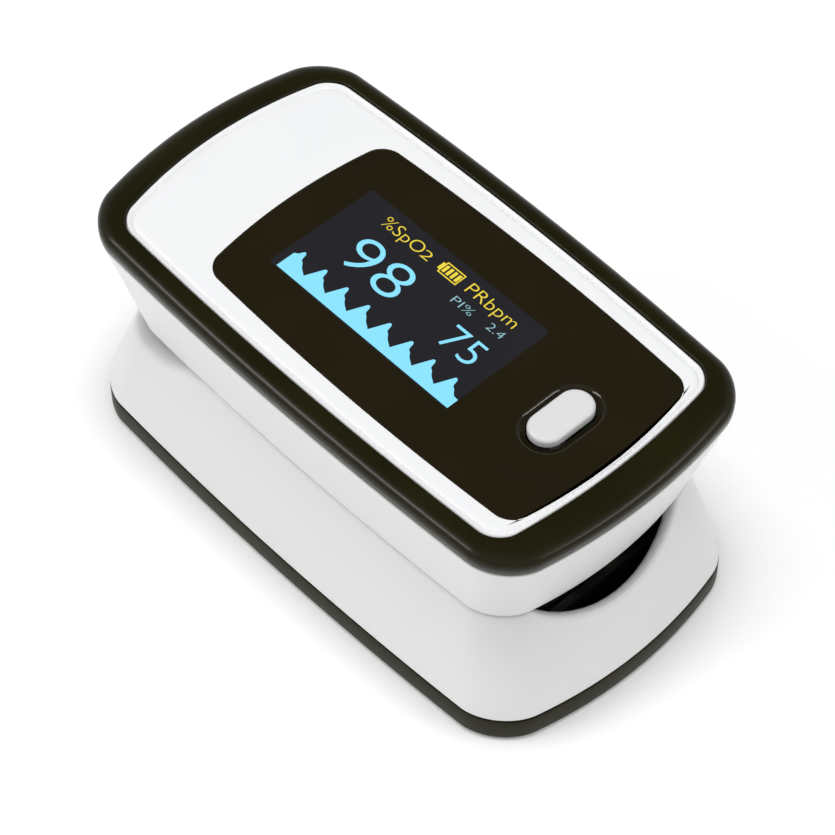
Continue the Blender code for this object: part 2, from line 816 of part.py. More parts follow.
def battery_cover():
    """Door under the cells, with its own stretch of the band at the rear. It slides off backwards."""
    cover = foot_solid("battery_cover", COVER_LIFT, PARTS)
    half = door_half_width()
    keep = box(
        "cover_keep",
        (-half, door_front_y(), -THROUGH),
        (half, BASE_OUTLINE[1] + THROUGH, BAND_TOP + THROUGH),
        CUTTERS,
    )
    boolean(cover, keep, "INTERSECT")
    wall = inset(BASE_OUTLINE, BAND_WALL)
    floor = COVER_LIFT + COVER_THICKNESS
    pocket = loft("cover_pocket", [(wall, floor), (wall, BAND_TOP + THROUGH)], CUTTERS)
    boolean(cover, pocket)
    return finish(cover, "#3A3828", 0.4)


def cell_centre_z():
    return COVER_LIFT + COVER_THICKNESS + GAP + CELL_RADIUS


def contact_end():
    """Half the length between the outer faces of the contact plates."""
    return (CELL_LENGTH + CONTACT_SPRING_LENGTH) / 2 + CONTACT_PLATE + 1.5 * GAP


def battery(number, side, nub_way):
    """AAA cell with its raised pole towards nub_way along Y. The other end faces a spring."""
    x = side * CELL_SPACING / 2
    z = cell_centre_z()
    tip = nub_way * (contact_end() - CONTACT_PLATE - GAP)
    shoulder = tip - nub_way * NUB_LENGTH
    bottom = tip - nub_way * CELL_LENGTH
    cell = cylinder(f"battery_{number}", CELL_RADIUS, (x, bottom, z), (x, shoulder, z), PARTS, segments=32)
    nub = cylinder(
        f"battery_nub_{number}",
        NUB_RADIUS,
        (x, shoulder - nub_way * NUB_LENGTH, z),
        (x, tip, z),
        CUTTERS,
        segments=16,
    )
    boolean(cell, nub, "UNION")
    return finish(cell, "#8E9296", 0.35, 0.8)


def battery_spring(number, side, way):
    """Conical contact coil between a cell's flat end and the plate at that end."""
    x = side * CELL_SPACING / 2
    z = cell_centre_z()
    plate_face = way * (contact_end() - CONTACT_PLATE)
    turns, per_turn = 2.5, 10
    count = int(turns * per_turn)
    wide, narrow = 3.4 * MM, 1.8 * MM
    clear = SEAM + CONTACT_WIRE
    run = CONTACT_SPRING_LENGTH + GAP - 2 * clear
    points = []
    for step in range(count + 1):
        share = step / count
        angle = 2 * math.pi * turns * share
        radius = wide + (narrow - wide) * share
        y = plate_face - way * (clear + run * share)
        points.append((x + radius * math.cos(angle), y, z + radius * math.sin(angle)))
    spring = wire(f"battery_spring_{number}", points, CONTACT_WIRE / 2, PARTS)
    return finish(spring, STEEL, 0.25, 1.0)


def contact_plate(name, low_x, high_x, way):
    """Plated strip at one end of the cells."""
    half_height = 3.0 * MM
    face, back = sorted((way * (contact_end() - CONTACT_PLATE), way * contact_end()))
    z = cell_centre_z()
    plate = box(name, (low_x, face, z - half_height), (high_x, back, z + half_height), PARTS)
    return finish(plate, STEEL, 0.3, 1.0)


def battery_cradle():
    """Frame round the cells that holds their contacts."""
    half_x = CELL_SPACING / 2 + CELL_RADIUS + SEAM
    half_y = contact_end() + SEAM
    low = COVER_LIFT + COVER_THICKNESS + GAP
    cradle = box(
        "battery_cradle",
        (-half_x - CRADLE_WALL, -half_y - CRADLE_WALL, low),
        (half_x + CRADLE_WALL, half_y + CRADLE_WALL, CRADLE_TOP),
        PARTS,
        round_edges=CRADLE_CORNER + CRADLE_WALL,
    )
    cavity = box(
        "cradle_cavity",
        (-half_x, -half_y, low - THROUGH),
        (half_x, half_y, CRADLE_TOP + THROUGH),
        CUTTERS,
        round_edges=CRADLE_CORNER,
    )
    boolean(cradle, cavity)
    return finish(cradle, BLACK, 0.55)


def lower_tray():
    """Inner deck of the lower jaw: pad seat, sloping apron at the mouth, skirt inside the squeeze gap, hinge ears."""
    top = LOWER_TRAY_Z + TRAY_THICKNESS
    tray = loft("lower_tray", [(TRAY_OUTLINE, LOWER_TRAY_Z), (TRAY_OUTLINE, top)], PARTS)
    front_cut = box(
        "tray_front_cut",
        (-BASE_OUTLINE[0], -BASE_OUTLINE[1], LOWER_TRAY_Z - THROUGH),
        (BASE_OUTLINE[0], APRON_START_Y, top + THROUGH),
        CUTTERS,
    )
    boolean(tray, front_cut)
    end_y, end_z = APRON_END
    overlap = 1.0 * MM
    apron = side_profile(
        "tray_apron",
        [
            (APRON_START_Y + overlap, LOWER_TRAY_Z + BITE),
            (APRON_START_Y + overlap, top - BITE),
            (APRON_START_Y, top - BITE),
            (end_y, end_z + TRAY_THICKNESS),
            (end_y, end_z),
            (APRON_START_Y, LOWER_TRAY_Z + BITE),
        ],
        APRON_HALF_WIDTH,
        CUTTERS,
    )
    boolean(tray, apron, "UNION")
    skirt_outline = inset(TRAY_OUTLINE, BITE)
    skirt = thicken(
        loft(
            "tray_skirt",
            [(skirt_outline, LOWER_TRAY_Z + TRAY_THICKNESS / 4), (skirt_outline, SKIRT_TOP)],
            CUTTERS,
            ends="open",
        ),
        SKIRT_WALL,
    )
    skirt_cut = box(
        "skirt_cut",
        (-BASE_OUTLINE[0], -BASE_OUTLINE[1], 0),
        (BASE_OUTLINE[0], SKIRT_START_Y, SKIRT_TOP + THROUGH),
        CUTTERS,
    )
    boolean(skirt, skirt_cut)
    boolean(tray, skirt, "UNION")
    lower_ear_x = UPPER_EAR_X + EAR_THICKNESS + GAP
    hinge_ears("lower_tray", tray, lower_ear_x, LOWER_TRAY_Z + TRAY_THICKNESS / 2)
    tray_holes("lower_tray", tray, LOWER_TRAY_Z - THROUGH / 4, top + THROUGH / 4)
    return finish(tray, BLACK, 0.5)


def lower_finger_pad():
    """Soft pad under the finger: a shallow channel that slopes down to the mouth."""
    low = LOWER_TRAY_Z + TRAY_THICKNESS + GAP
    end_y, end_z = APRON_END
    pad_end = end_z + TRAY_THICKNESS + 1.3 * GAP
    pad = side_profile(
        "lower_finger_pad",
        [
            (PAD_REAR_Y, low),
            (APRON_START_Y, low),
            (end_y, pad_end),
            (end_y, pad_end + PAD_MIN),
            (APRON_START_Y, LOWER_PAD_TOP),
            (PAD_REAR_Y, LOWER_PAD_TOP),
        ],
        LOWER_PAD_HALF_WIDTH,
        PARTS,
    )
    finger_channel(pad, "lower_channel", low + PAD_MIN + PAD_CURVE)
    light_hole(pad, "lower_pad_hole", low, LOWER_PAD_TOP)
    return finish(pad, SILICONE, 0.7)


def sensor_board():
    """Small board in the valley between the cells, under the photodiode."""
    half_x, half_y, thick = 2.5 * MM, 3.0 * MM, 0.5 * MM
    high = LOWER_TRAY_Z - GAP
    board = box(
        "sensor_board",
        (-half_x, SENSE_Y - half_y, high - thick),
        (half_x, SENSE_Y + half_y, high),
        PARTS,
    )
    return finish(board, BOARD_GREEN, 0.45)


def photodiode():
    half = 1.5 * MM
    diode = box(
        "photodiode",
        (-half, SENSE_Y - half, LOWER_TRAY_Z - SEAM),
        (half, SENSE_Y + half, LOWER_TRAY_Z + TRAY_THICKNESS - SEAM),
        PARTS,
    )
    return finish(diode, "#15161C", 0.2)


# ---------------------------------------------------------------- between the jaws, and fasteners


def hinge_pin():
    """Steel axle through the four ears."""
    half = UPPER_EAR_X + EAR_THICKNESS + GAP + EAR_THICKNESS / 2 + PIN_END
    pin = cylinder("hinge_pin", PIN_RADIUS, (-half, PIVOT_Y, PIVOT_Z), (half, PIVOT_Y, PIVOT_Z), PARTS)
    return finish(pin, STEEL, 0.25, 1.0)


def torsion_spring(name, side):
    """Steel coil on the pin. Its two arms point backwards and push the jaws' rear ends apart."""
    wire_radius = 0.3 * MM
    coil_radius = PIN_RADIUS + GAP + wire_radius
    turns, per_turn = 3.5, 10
    start_x = side * 1.2 * MM
    pitch = side * 1.1 * MM
    count = int(turns * per_turn)
    reach = PIVOT_Y + EAR_RADIUS + 1.0 * MM
    upper_end = (start_x, reach, UPPER_TRAY_Z - GAP - 2 * wire_radius)
    lower_end = (start_x + pitch * turns, reach, LOWER_TRAY_Z + TRAY_THICKNESS + GAP + 2 * wire_radius)
    points = [upper_end]
    for step in range(count + 1):
        angle = math.pi / 2 + 2 * math.pi * step / per_turn
        points.append(
            (
                start_x + pitch * step / per_turn,
                PIVOT_Y + coil_radius * math.cos(angle),
                PIVOT_Z + coil_radius * math.sin(angle),
            )
        )
    points.append(lower_end)
    return finish(wire(name, points, wire_radius, PARTS), STEEL, 0.25, 1.0)


def flex_cable():
    """Ribbon that joins the main board to the sensor board behind the finger's stop."""
    low_run = LOWER_TRAY_Z - GAP - FLEX_THICKNESS
    bend = 0.9 * MM
    slack = 0.9 * MM
    board_side = BOARD_Z - GAP
    sensor_end = SENSE_Y + 3.0 * MM + GAP
    profile = [(FLEX_Y, board_side)]
    steps = 6
    top, bottom = UPPER_TRAY_Z - GAP, LOWER_TRAY_Z + TRAY_THICKNESS + GAP
    for step in range(steps + 1):
        share = step / steps
        sway = slack * math.sin(math.pi * share) ** 2
        profile.append((FLEX_Y + sway, top + share * (bottom - top)))
    profile += [(FLEX_Y, low_run + bend), (FLEX_Y - bend * 0.3, low_run + bend * 0.3)]
    profile += [(FLEX_Y - bend, low_run), (sensor_end, low_run)]
    builder = bmesh.new()
    half = FLEX_WIDTH / 2
    rows = [[builder.verts.new((x, y, z)) for x in (-half, half)] for y, z in profile]
    for (left, right), (left_next, right_next) in zip(rows, rows[1:]):
        builder.faces.new((left, right, right_next, left_next))
    ribbon = object_from("flex_cable", builder, PARTS)
    modifier = ribbon.modifiers.new("Thickness", "SOLIDIFY")
    modifier.thickness = FLEX_THICKNESS
    modifier.offset = 0
    modifier.use_even_offset = True
    return finish(ribbon, "#B86A28", 0.4)


def corner_places(screw_places):
    """The four (x, y) places of a set of screws."""
    x, y = screw_places
    return [(-x, -y), (x, -y), (-x, y), (x, y)]


def screws(name, places, seat_z, length):
    """Pan-head screws driven upwards. seat_z is the top of their heads."""
    made = []
    for number, (x, y) in enumerate(corner_places(places), start=1):
        screw = cylinder(
            f"{name}_{number}",
            HEAD_RADIUS,
            (x, y, seat_z - HEAD_HEIGHT),
            (x, y, seat_z),
            PARTS,
            segments=16,
        )
        shank = cylinder(
            f"{name}_shank_{number}",
            SCREW_RADIUS,
            (x, y, seat_z - HEAD_HEIGHT / 2),
            (x, y, seat_z + length),
            CUTTERS,
            segments=12,
        )
        boolean(screw, shank, "UNION")
        made.append(finish(screw, STEEL, 0.3, 1.0))
    return made


# ---------------------------------------------------------------- assembly


def build_upper_jaw():
    fixed = [
        upper_case(),
        rim_band(),
        top_panel(),
        display_lens(),
        display_module(),
        display_gasket(),
        main_board(),
        processor_chip(),
        tact_switch(),
        upper_tray(),
        upper_finger_pad(),
        emitter_board(),
        emitter_led(),
        light_window("emitter_window", UPPER_TRAY_Z - GAP - PAD_MIN, UPPER_TRAY_Z - SEAM),
    ]
    fixed += screws("upper_screw", UPPER_SCREWS, UPPER_TRAY_Z - GAP, UPPER_SCREW_LENGTH)
    upper = jaw("upper_jaw", (0, PIVOT_Y, PIVOT_Z))
    carry(upper, *fixed)
    press = jaw("button_axis", (0, BUTTON_Y, BUTTON_TOP))
    carry(press, power_button())
    carry(upper, press)


def build_lower_jaw():
    pad_low = LOWER_TRAY_Z + TRAY_THICKNESS
    cell_half = CELL_SPACING / 2
    plate_half = 3.6 * MM
    fixed = [
        lower_case(),
        base_band(),
        battery(1, -1, -1),
        battery(2, 1, 1),
        battery_spring(1, -1, 1),
        battery_spring(2, 1, -1),
        contact_plate("battery_terminal_1", -cell_half - plate_half, -cell_half + plate_half, -1),
        contact_plate("battery_terminal_2", cell_half - plate_half, cell_half + plate_half, -1),
        contact_plate("battery_link_plate", -cell_half - plate_half, cell_half + plate_half, 1),
        battery_cradle(),
        lower_tray(),
        lower_finger_pad(),
        sensor_board(),
        photodiode(),
        light_window("sensor_window", pad_low + SEAM, pad_low + GAP + PAD_MIN),
        hinge_pin(),
        torsion_spring("torsion_spring_left", -1),
        torsion_spring("torsion_spring_right", 1),
        flex_cable(),
    ]
    fixed += screws("lower_screw", LOWER_SCREWS, HEAD_HEIGHT + COVER_LIFT - SEAM / 2, LOWER_SCREW_LENGTH)
    lower = jaw("lower_jaw", (0, 0, 0))
    carry(lower, *fixed)
    slide = jaw("cover_slide", (0, 0, COVER_LIFT))
    carry(slide, battery_cover())
    carry(lower, slide)


clear_scene()
PARTS = new_collection("fingertip_pulse_oximeter")
CUTTERS = new_collection("cutters")
build_upper_jaw()
build_lower_jaw()
bpy.context.view_layer.update()
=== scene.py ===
"""Looks of a fingertip pulse oximeter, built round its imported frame.

Sizes are in millimetres until a mesh is made. +Z is up, the finger goes in at -Y, and the display reads
from the hinge end (+Y) towards the button (-Y).
"""

import math

import bmesh
import bpy
from mathutils import Matrix, Vector


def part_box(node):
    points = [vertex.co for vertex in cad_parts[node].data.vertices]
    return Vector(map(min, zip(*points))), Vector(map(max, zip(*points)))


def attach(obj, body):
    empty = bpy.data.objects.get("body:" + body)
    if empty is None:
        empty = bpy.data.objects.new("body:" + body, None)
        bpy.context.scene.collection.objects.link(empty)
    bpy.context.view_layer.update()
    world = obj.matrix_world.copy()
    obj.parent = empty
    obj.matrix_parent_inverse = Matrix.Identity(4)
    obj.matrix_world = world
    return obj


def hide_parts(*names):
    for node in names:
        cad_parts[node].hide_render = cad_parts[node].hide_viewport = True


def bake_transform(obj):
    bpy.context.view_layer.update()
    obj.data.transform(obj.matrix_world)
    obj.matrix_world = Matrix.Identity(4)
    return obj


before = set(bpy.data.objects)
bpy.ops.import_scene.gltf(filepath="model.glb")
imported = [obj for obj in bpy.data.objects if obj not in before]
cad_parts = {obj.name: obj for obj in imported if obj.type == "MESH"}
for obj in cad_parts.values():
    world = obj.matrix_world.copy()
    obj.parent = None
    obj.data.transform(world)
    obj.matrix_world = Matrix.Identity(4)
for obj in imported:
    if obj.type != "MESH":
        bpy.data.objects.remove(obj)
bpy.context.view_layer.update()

MM = 0.001


def node_box(node):
    """A CAD node's lowest and highest corners, in millimetres."""
    low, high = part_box(node)
    return low / MM, high / MM


BASE_LOW, BASE_HIGH = node_box("base_band")
BAND_TOP = BASE_HIGH.z
RIM_LOW, RIM_HIGH = node_box("rim_band")
LENS_LOW, LENS_HIGH = node_box("display_lens")
BUTTON_LOW, BUTTON_HIGH = node_box("power_button")
PANEL_TOP = LENS_HIGH.z
PARTING_Z = (node_box("lower_case")[1].z + node_box("upper_case")[0].z) / 2
COVER_LOW, COVER_HIGH = node_box("battery_cover")
TRAY_LOW, TRAY_HIGH = node_box("lower_tray")
UPPER_PAD = node_box("upper_finger_pad")
LOWER_PAD = node_box("lower_finger_pad")

BEZEL_SIDE = 2.19  # how wide the dark bezel is along each side, seen from above
BEZEL_END = 3.42  # and at each end

# Outlines: (half width, half length, side bow, front bow, rear bow, corner radius, centre's y)
BASE = (BASE_HIGH.x, -BASE_LOW.y, 1.0, 2.7, 2.6, 4.6, 0.0)
WAIST = (13.8, 27.1, 0.8, 2.0, 2.5, 3.9, 0.05)
RIM = (RIM_HIGH.x, RIM_HIGH.y, 0.95, 2.1, 2.7, 4.4, 0.0)
PANEL = (RIM_HIGH.x - BEZEL_SIDE, RIM_HIGH.y - BEZEL_END, 0.75, 1.27, 2.13, 2.28, 0.12)
LENS_Y = (LENS_HIGH.y + LENS_LOW.y) / 2
LENS = (LENS_HIGH.x, (LENS_HIGH.y - LENS_LOW.y) / 2, 0.68, 1.27, 1.15, 1.85, LENS_Y)
TRAY = (TRAY_HIGH.x, -TRAY_LOW.y - 0.8, 0.8, 2.0, 2.4, 4.4, 0.0)
SMALLEST_CORNER = 0.3
CORNER_STEPS = 18
SIDE_STEPS = 16
ROUND_END = 0.995  # a corner of nearly the half length makes an end a half circle

# The push cap stands a little inside its CAD outline, and just off the window's centre line.
BUTTON_HALF_WIDTH = (BUTTON_HIGH.x - BUTTON_LOW.x) / 2 - 0.2
BUTTON_HALF_LENGTH = (BUTTON_HIGH.y - BUTTON_LOW.y) / 2 - 0.15
BUTTON_X = 0.3
BUTTON_Y = (BUTTON_LOW.y + BUTTON_HIGH.y) / 2 - 0.1

WALL = 1.3
PARTING_GAP = 0.2  # between the two white shells
RIM_WIDEST = 26.45  # the height at which the bezel is widest
SEAM = 0.06  # between the bezel and the cover panel
FLARE = 0.25  # how far the lower shell's flare leaves a straight line
MOUTH_HALF_WIDTH = 9.3
MOUTH_DEPTH = 3.75
GAP_START_Y = 14.0
GAP_FULL_Y = 21.0
SQUEEZE_GAP = 1.9
SENSE_Y = -5.0  # where the light crosses the finger
LIGHT_PORT = 2.4  # radius of the pads' holes for it
PAD_CURVE = 9.0  # radius of the finger's channel
PAD_STEPS = 96
SHARP = 32.0  # edges that turn by more than this stay crisp, in degrees


# ---------------------------------------------------------------- finishes

DRIFT = 9.0  # size of the slow change of tone over a surface
ROW_PITCH = 1.131  # the display's real rows are 0.18 mm apart, too fine to show, so they are drawn coarser
WAVES_PER_UNIT = 20 / (2 * math.pi)  # bands that the wave texture draws in one unit at scale 1
COLOUR_A, COLOUR_B, COLOUR_OUT = 6, 7, 2  # the mix node's colour sockets


def linear(hex_colour):
    """An sRGB hex colour as linear RGBA."""
    parts = [int(hex_colour[i : i + 2], 16) / 255 for i in (1, 3, 5)]
    return [c / 12.92 if c <= 0.04045 else ((c + 0.055) / 1.055) ** 2.4 for c in parts] + [1.0]


def add(tree, kind, settings=None, links=None):
    """Adds a node, sets its properties or inputs by name, and links inputs to other nodes' outputs."""
    made = tree.nodes.new(kind)
    for name, value in (settings or {}).items():
        if name in made.inputs:
            made.inputs[name].default_value = value
        else:
            setattr(made, name, value)
    for name, (source, output) in (links or {}).items():
        tree.links.new(source.outputs[output], made.inputs[name])
    return made


def finish(name, colour, roughness, other, grain=0.4, spread=0.03, bump=0.02, uneven=0.04, **shader):
    """A moulded or coated surface: two close colours drift over it, and its gloss is a little uneven.

    grain is the size of the surface's texture in mm, bump its height in mm, spread the share of the other
    colour, and uneven how far the roughness strays. What is left names the shader's own inputs.
    """
    made = bpy.data.materials.new(name)
    made.use_nodes = True
    tree = made.node_tree
    principled = tree.nodes["Principled BSDF"]
    where = add(tree, "ShaderNodeTexCoord")
    fine = add(
        tree,
        "ShaderNodeTexNoise",
        {"Scale": 1 / (grain * MM), "Detail": 3.0, "Roughness": 0.55},
        {"Vector": (where, "Object")},
    )
    broad = add(
        tree,
        "ShaderNodeTexNoise",
        {"Scale": 1 / (DRIFT * MM), "Detail": 2.0, "Roughness": 0.5},
        {"Vector": (where, "Object")},
    )
    drift = add(
        tree,
        "ShaderNodeMapRange",
        {"From Min": 0.3, "From Max": 0.7, "To Min": 0.0, "To Max": spread},
        {"Value": (broad, "Fac")},
    )
    tint = add(
        tree,
        "ShaderNodeMix",
        {"data_type": "RGBA"},
        {"Factor": (drift, "Result")},
    )
    tint.inputs[COLOUR_A].default_value = linear(colour)
    tint.inputs[COLOUR_B].default_value = linear(other)
    tree.links.new(tint.outputs[COLOUR_OUT], principled.inputs["Base Color"])
    gloss = add(
        tree,
        "ShaderNodeMapRange",
        {
            "From Min": 0.3,
            "From Max": 0.7,
            "To Min": max(roughness - uneven, 0.02),
            "To Max": roughness + uneven,
        },
        {"Value": (fine, "Fac")},
    )
    tree.links.new(gloss.outputs["Result"], principled.inputs["Roughness"])
    relief = add(
        tree,
        "ShaderNodeBump",
        {"Strength": 0.5, "Distance": bump * MM},
        {"Height": (fine, "Fac")},
    )
    tree.links.new(relief.outputs["Normal"], principled.inputs["Normal"])
    for socket, value in shader.items():
        principled.inputs[socket.replace("_", " ")].default_value = value
    return made


def lit_finish(name, colour, glow):
    """Lit OLED figures: a flat glow, crossed by the faint rows that make them up."""
    made = finish(name, colour, 0.2, other="#FFFFFF", grain=0.6, spread=0.04, bump=0.0, uneven=0.02)
    tree = made.node_tree
    principled = tree.nodes["Principled BSDF"]
    where = add(tree, "ShaderNodeTexCoord")
    rows = add(
        tree,
        "ShaderNodeTexWave",
        {"wave_type": "BANDS", "bands_direction": "Y", "Scale": 1 / (ROW_PITCH * MM * WAVES_PER_UNIT)},
        {"Vector": (where, "Object")},
    )
    shade = add(
        tree,
        "ShaderNodeMapRange",
        {"To Min": 0.985, "To Max": 1.0},
        {"Value": (rows, "Fac")},
    )
    level = add(
        tree,
        "ShaderNodeMix",
        {"data_type": "RGBA", "blend_type": "MULTIPLY", "Factor": 1.0},
    )
    level.inputs[COLOUR_A].default_value = linear(colour)
    tree.links.new(shade.outputs["Result"], level.inputs[COLOUR_B])
    tree.links.new(level.outputs[COLOUR_OUT], principled.inputs["Emission Color"])
    tree.links.remove(principled.inputs["Base Color"].links[0])
    principled.inputs["Base Color"].default_value = linear("#101214")
    principled.inputs["Emission Strength"].default_value = glow
    return made


def circuit_board():
    """FR4 board under green solder mask: the copper tracks read as slightly lighter green lines."""
    grid = 3.0  # the tracks run 0.35 of this apart
    made = finish("solder_masked_fr4", "#1C5A36", 0.35, other="#2C7A4A", grain=0.3, spread=0.1)
    tree = made.node_tree
    principled = tree.nodes["Principled BSDF"]
    where = add(tree, "ShaderNodeTexCoord")
    tracks = add(
        tree,
        "ShaderNodeTexBrick",
        {"Scale": 1 / (grid * MM), "Mortar Size": 0.03, "Brick Width": 1.4, "Row Height": 0.35},
        {"Vector": (where, "Object")},
    )
    tracks.inputs["Color1"].default_value = linear("#1C5A36")
    tracks.inputs["Color2"].default_value = linear("#1F613B")
    tracks.inputs["Mortar"].default_value = linear("#4C9A62")
    tree.links.new(tracks.outputs["Color"], principled.inputs["Base Color"])
    return made


# Injection-moulded ABS: even white, with a faint orange peel and soft highlights.
WHITE_ABS = finish(
    "gloss_moulded_white_abs",
    "#E0E0E0",
    0.3,
    other="#DADAD9",
    grain=0.9,
    spread=0.2,
    bump=0.0006,
    uneven=0.02,
)
# Acrylic sheet printed white underneath: whiter and glossier than the case, with crisp reflections.
WHITE_ACRYLIC = finish(
    "printed_white_acrylic",
    "#EFF0F1",
    0.1,
    other="#E6E7E9",
    grain=1.6,
    spread=0.2,
    bump=0.0004,
    uneven=0.01,
)
# Very dark olive-brown ABS, polished in the mould: black in shade, olive where light catches its roll.
DARK_ABS = finish(
    "polished_dark_olive_abs",
    "#1B190A",
    0.26,
    other="#26230F",
    grain=0.8,
    spread=0.5,
    bump=0.0006,
    uneven=0.02,
    Specular_IOR_Level=0.22,
)
# The same dark olive ABS left satin: a spark-eroded mould texture softens what it reflects.
BASE_ABS = finish(
    "satin_dark_olive_abs",
    "#1F1D0A",
    0.4,
    other="#28260F",
    grain=0.25,
    spread=0.5,
    bump=0.004,
    uneven=0.04,
    Specular_IOR_Level=0.14,
)
# Smoked acrylic window: brown-black and dead flat, so it shows one clean dim reflection.
SMOKED_ACRYLIC = finish(
    "smoked_acrylic",
    "#211C10",
    0.08,
    other="#282214",
    grain=2.0,
    spread=0.3,
    bump=0.0,
    uneven=0.01,
    Specular_IOR_Level=0.25,
)
# OLED glass behind the window: unlit pixels read as a faint blue-grey.
OLED_GLASS = finish(
    "unlit_oled_glass",
    "#242428",
    0.1,
    other="#29292E",
    grain=0.18,
    spread=0.5,
    bump=0.0,
    uneven=0.01,
    Specular_IOR_Level=0.35,
)
# Lit pixels, in the display's three colours.
YELLOW_PIXELS = lit_finish("lit_yellow_oled", "#F6DC46", 1.0)
CYAN_PIXELS = lit_finish("lit_cyan_oled", "#8BE1FF", 1.05)
PALE_PIXELS = lit_finish("lit_pale_oled", "#9FD3DA", 0.85)
# Satin white push cap, moulded ABS: a shade greyer than the case, with the same soft highlights.
CAP_ABS = finish("satin_white_cap_abs", "#DCDCDC", 0.3, other="#D6D6D5", grain=0.5, spread=0.2, bump=0.001)
# Liquid silicone rubber: matt black with a fine skin, and a soft sheen at grazing angles.
SILICONE = finish(
    "black_silicone_rubber",
    "#0B0A08",
    0.8,
    other="#1C1A17",
    grain=0.15,
    spread=0.5,
    bump=0.02,
    Specular_IOR_Level=0.2,
    Sheen_Weight=0.05,
)
# Textured black ABS of the inner trays and the cradle: its spark-eroded grain leaves no sharp highlight.
BLACK_ABS = finish("textured_black_abs", "#121210", 0.5, other="#1A1A18", grain=0.2, spread=0.5, bump=0.02)
# Closed-cell foam: dull, open-pored black.
FOAM = finish("black_foam", "#101010", 0.95, other="#1C1C1C", grain=0.1, spread=0.6, bump=0.05)
# Black epoxy of a moulded chip: dark grey and matt, with a fine even grain.
EPOXY = finish("black_epoxy", "#141414", 0.45, other="#1D1D1D", grain=0.12, spread=0.5, bump=0.01)
# Tinned steel switch housing: pale and lightly clouded.
TINNED_STEEL = finish(
    "tinned_steel", "#C9C9C6", 0.32, other="#AFAFAA", grain=0.5, spread=0.6, bump=0.004, Metallic=1.0
)
# Nickel-plated spring steel: bright and warm, its plating slightly clouded.
NICKEL = finish("nickel_plated_steel", "#C7C2B6", 0.2, other="#A9A497", grain=0.2, spread=0.5, Metallic=1.0)
# Zinc-plated screws: bluish grey, a little dull.
ZINC = finish("zinc_plated_steel", "#B4B8BD", 0.34, other="#8F959C", grain=0.25, spread=0.6, Metallic=1.0)
# Amber polyimide ribbon, glossy, with darker patches where copper lies under it.
POLYIMIDE = finish("amber_polyimide", "#B5692A", 0.35, other="#8A4617", grain=0.5, spread=0.6, bump=0.004)
# Printed sleeve of a plain cell: satin grey film.
SLEEVE = finish("plain_grey_cell_sleeve", "#9A9DA1", 0.3, other="#8B8F94", grain=1.0, spread=0.4, bump=0.003)
# Pale moulded LED package: cream plastic with a soft gloss.
LED_PACKAGE = finish("pale_led_package", "#DAD6C6", 0.3, other="#C9C4AE", grain=0.3, spread=0.4)
# Photodiode: near-black die under clear resin.
DIODE = finish("dark_photodiode", "#14151C", 0.15, other="#1D2030", grain=0.4, spread=0.5, Coat_Weight=0.6)
# Red polycarbonate discs over the light source and the sensor: dark and clear-coated, so they look wet.
RED_PC = finish("red_polycarbonate", "#4A120E", 0.1, other="#5A1A12", grain=0.8, spread=0.4, Coat_Weight=0.5)
CIRCUIT_BOARD = circuit_board()


# ---------------------------------------------------------------- shapes


def outline(shape):
    """Points of a rounded rectangle with bowed sides, anticlockwise from the right-hand side."""
    half_width, half_length, side_bow, front_bow, rear_bow, radius, centre_y = shape
    corners = [(1, 1, 0), (-1, 1, 90), (-1, -1, 180), (1, -1, 270)]
    flat = []
    for sign_x, sign_y, first in corners:
        across = sign_x * (half_width - radius)
        along = sign_y * (half_length - radius)
        for step in range(CORNER_STEPS + 1):
            angle = math.radians(first + 90 * step / CORNER_STEPS)
            flat.append((across + radius * math.cos(angle), along + radius * math.sin(angle)))
    points = []
    for index, (x, y) in enumerate(flat):
        points.append((x, y))
        if index % (CORNER_STEPS + 1) == CORNER_STEPS:
            next_x, next_y = flat[(index + 1) % len(flat)]
            for step in range(1, SIDE_STEPS):
                share = step / SIDE_STEPS
                points.append((x + share * (next_x - x), y + share * (next_y - y)))
    bowed = []
    for x, y in points:
        end_bow = front_bow if y < 0 else rear_bow
        new_x = x * (1 - side_bow / half_width * (y / half_length) ** 2)
        new_y = y * (1 - end_bow / half_length * (x / half_width) ** 2)
        bowed.append((new_x, new_y + centre_y))
    return bowed


def inset(shape, distance):
    """The outline pulled in by a distance."""
    half_width, half_length, side_bow, front_bow, rear_bow, radius, centre_y = shape
    return (
        half_width - distance,
        half_length - distance,
        side_bow,
        front_bow,
        rear_bow,
        max(radius - distance, SMALLEST_CORNER),
        centre_y,
    )


def between(first, second, share):
    """Numbers that lie a share of the way from one list to another."""
    return tuple(a + share * (b - a) for a, b in zip(first, second))


def smooth_step(value):
    """Eases from 0 to 1 and stays there."""
    value = min(max(value, 0.0), 1.0)
    return value * value * (3 - 2 * value)


def ring(shape, z):
    """The outline's points at one height."""
    return [(x, y, z) for x, y in outline(shape)]


def ring_between(first, second, share):
    """A ring a share of the way from one ring to another."""
    return [between(start, end, share) for start, end in zip(first, second)]


def mesh_object(name, builder, sharp=SHARP):
    """An object of that mesh, in metres, shaded smooth except along edges sharper than this angle."""
    bmesh.ops.scale(builder, vec=(MM, MM, MM), verts=builder.verts)
    bmesh.ops.recalc_face_normals(builder, faces=builder.faces)
    mesh = bpy.data.meshes.new(name)
    builder.to_mesh(mesh)
    builder.free()
    mesh.shade_smooth()
    mesh.set_sharp_from_angle(angle=math.radians(sharp))
    made = bpy.data.objects.new(name, mesh)
    bpy.context.scene.collection.objects.link(made)
    return made


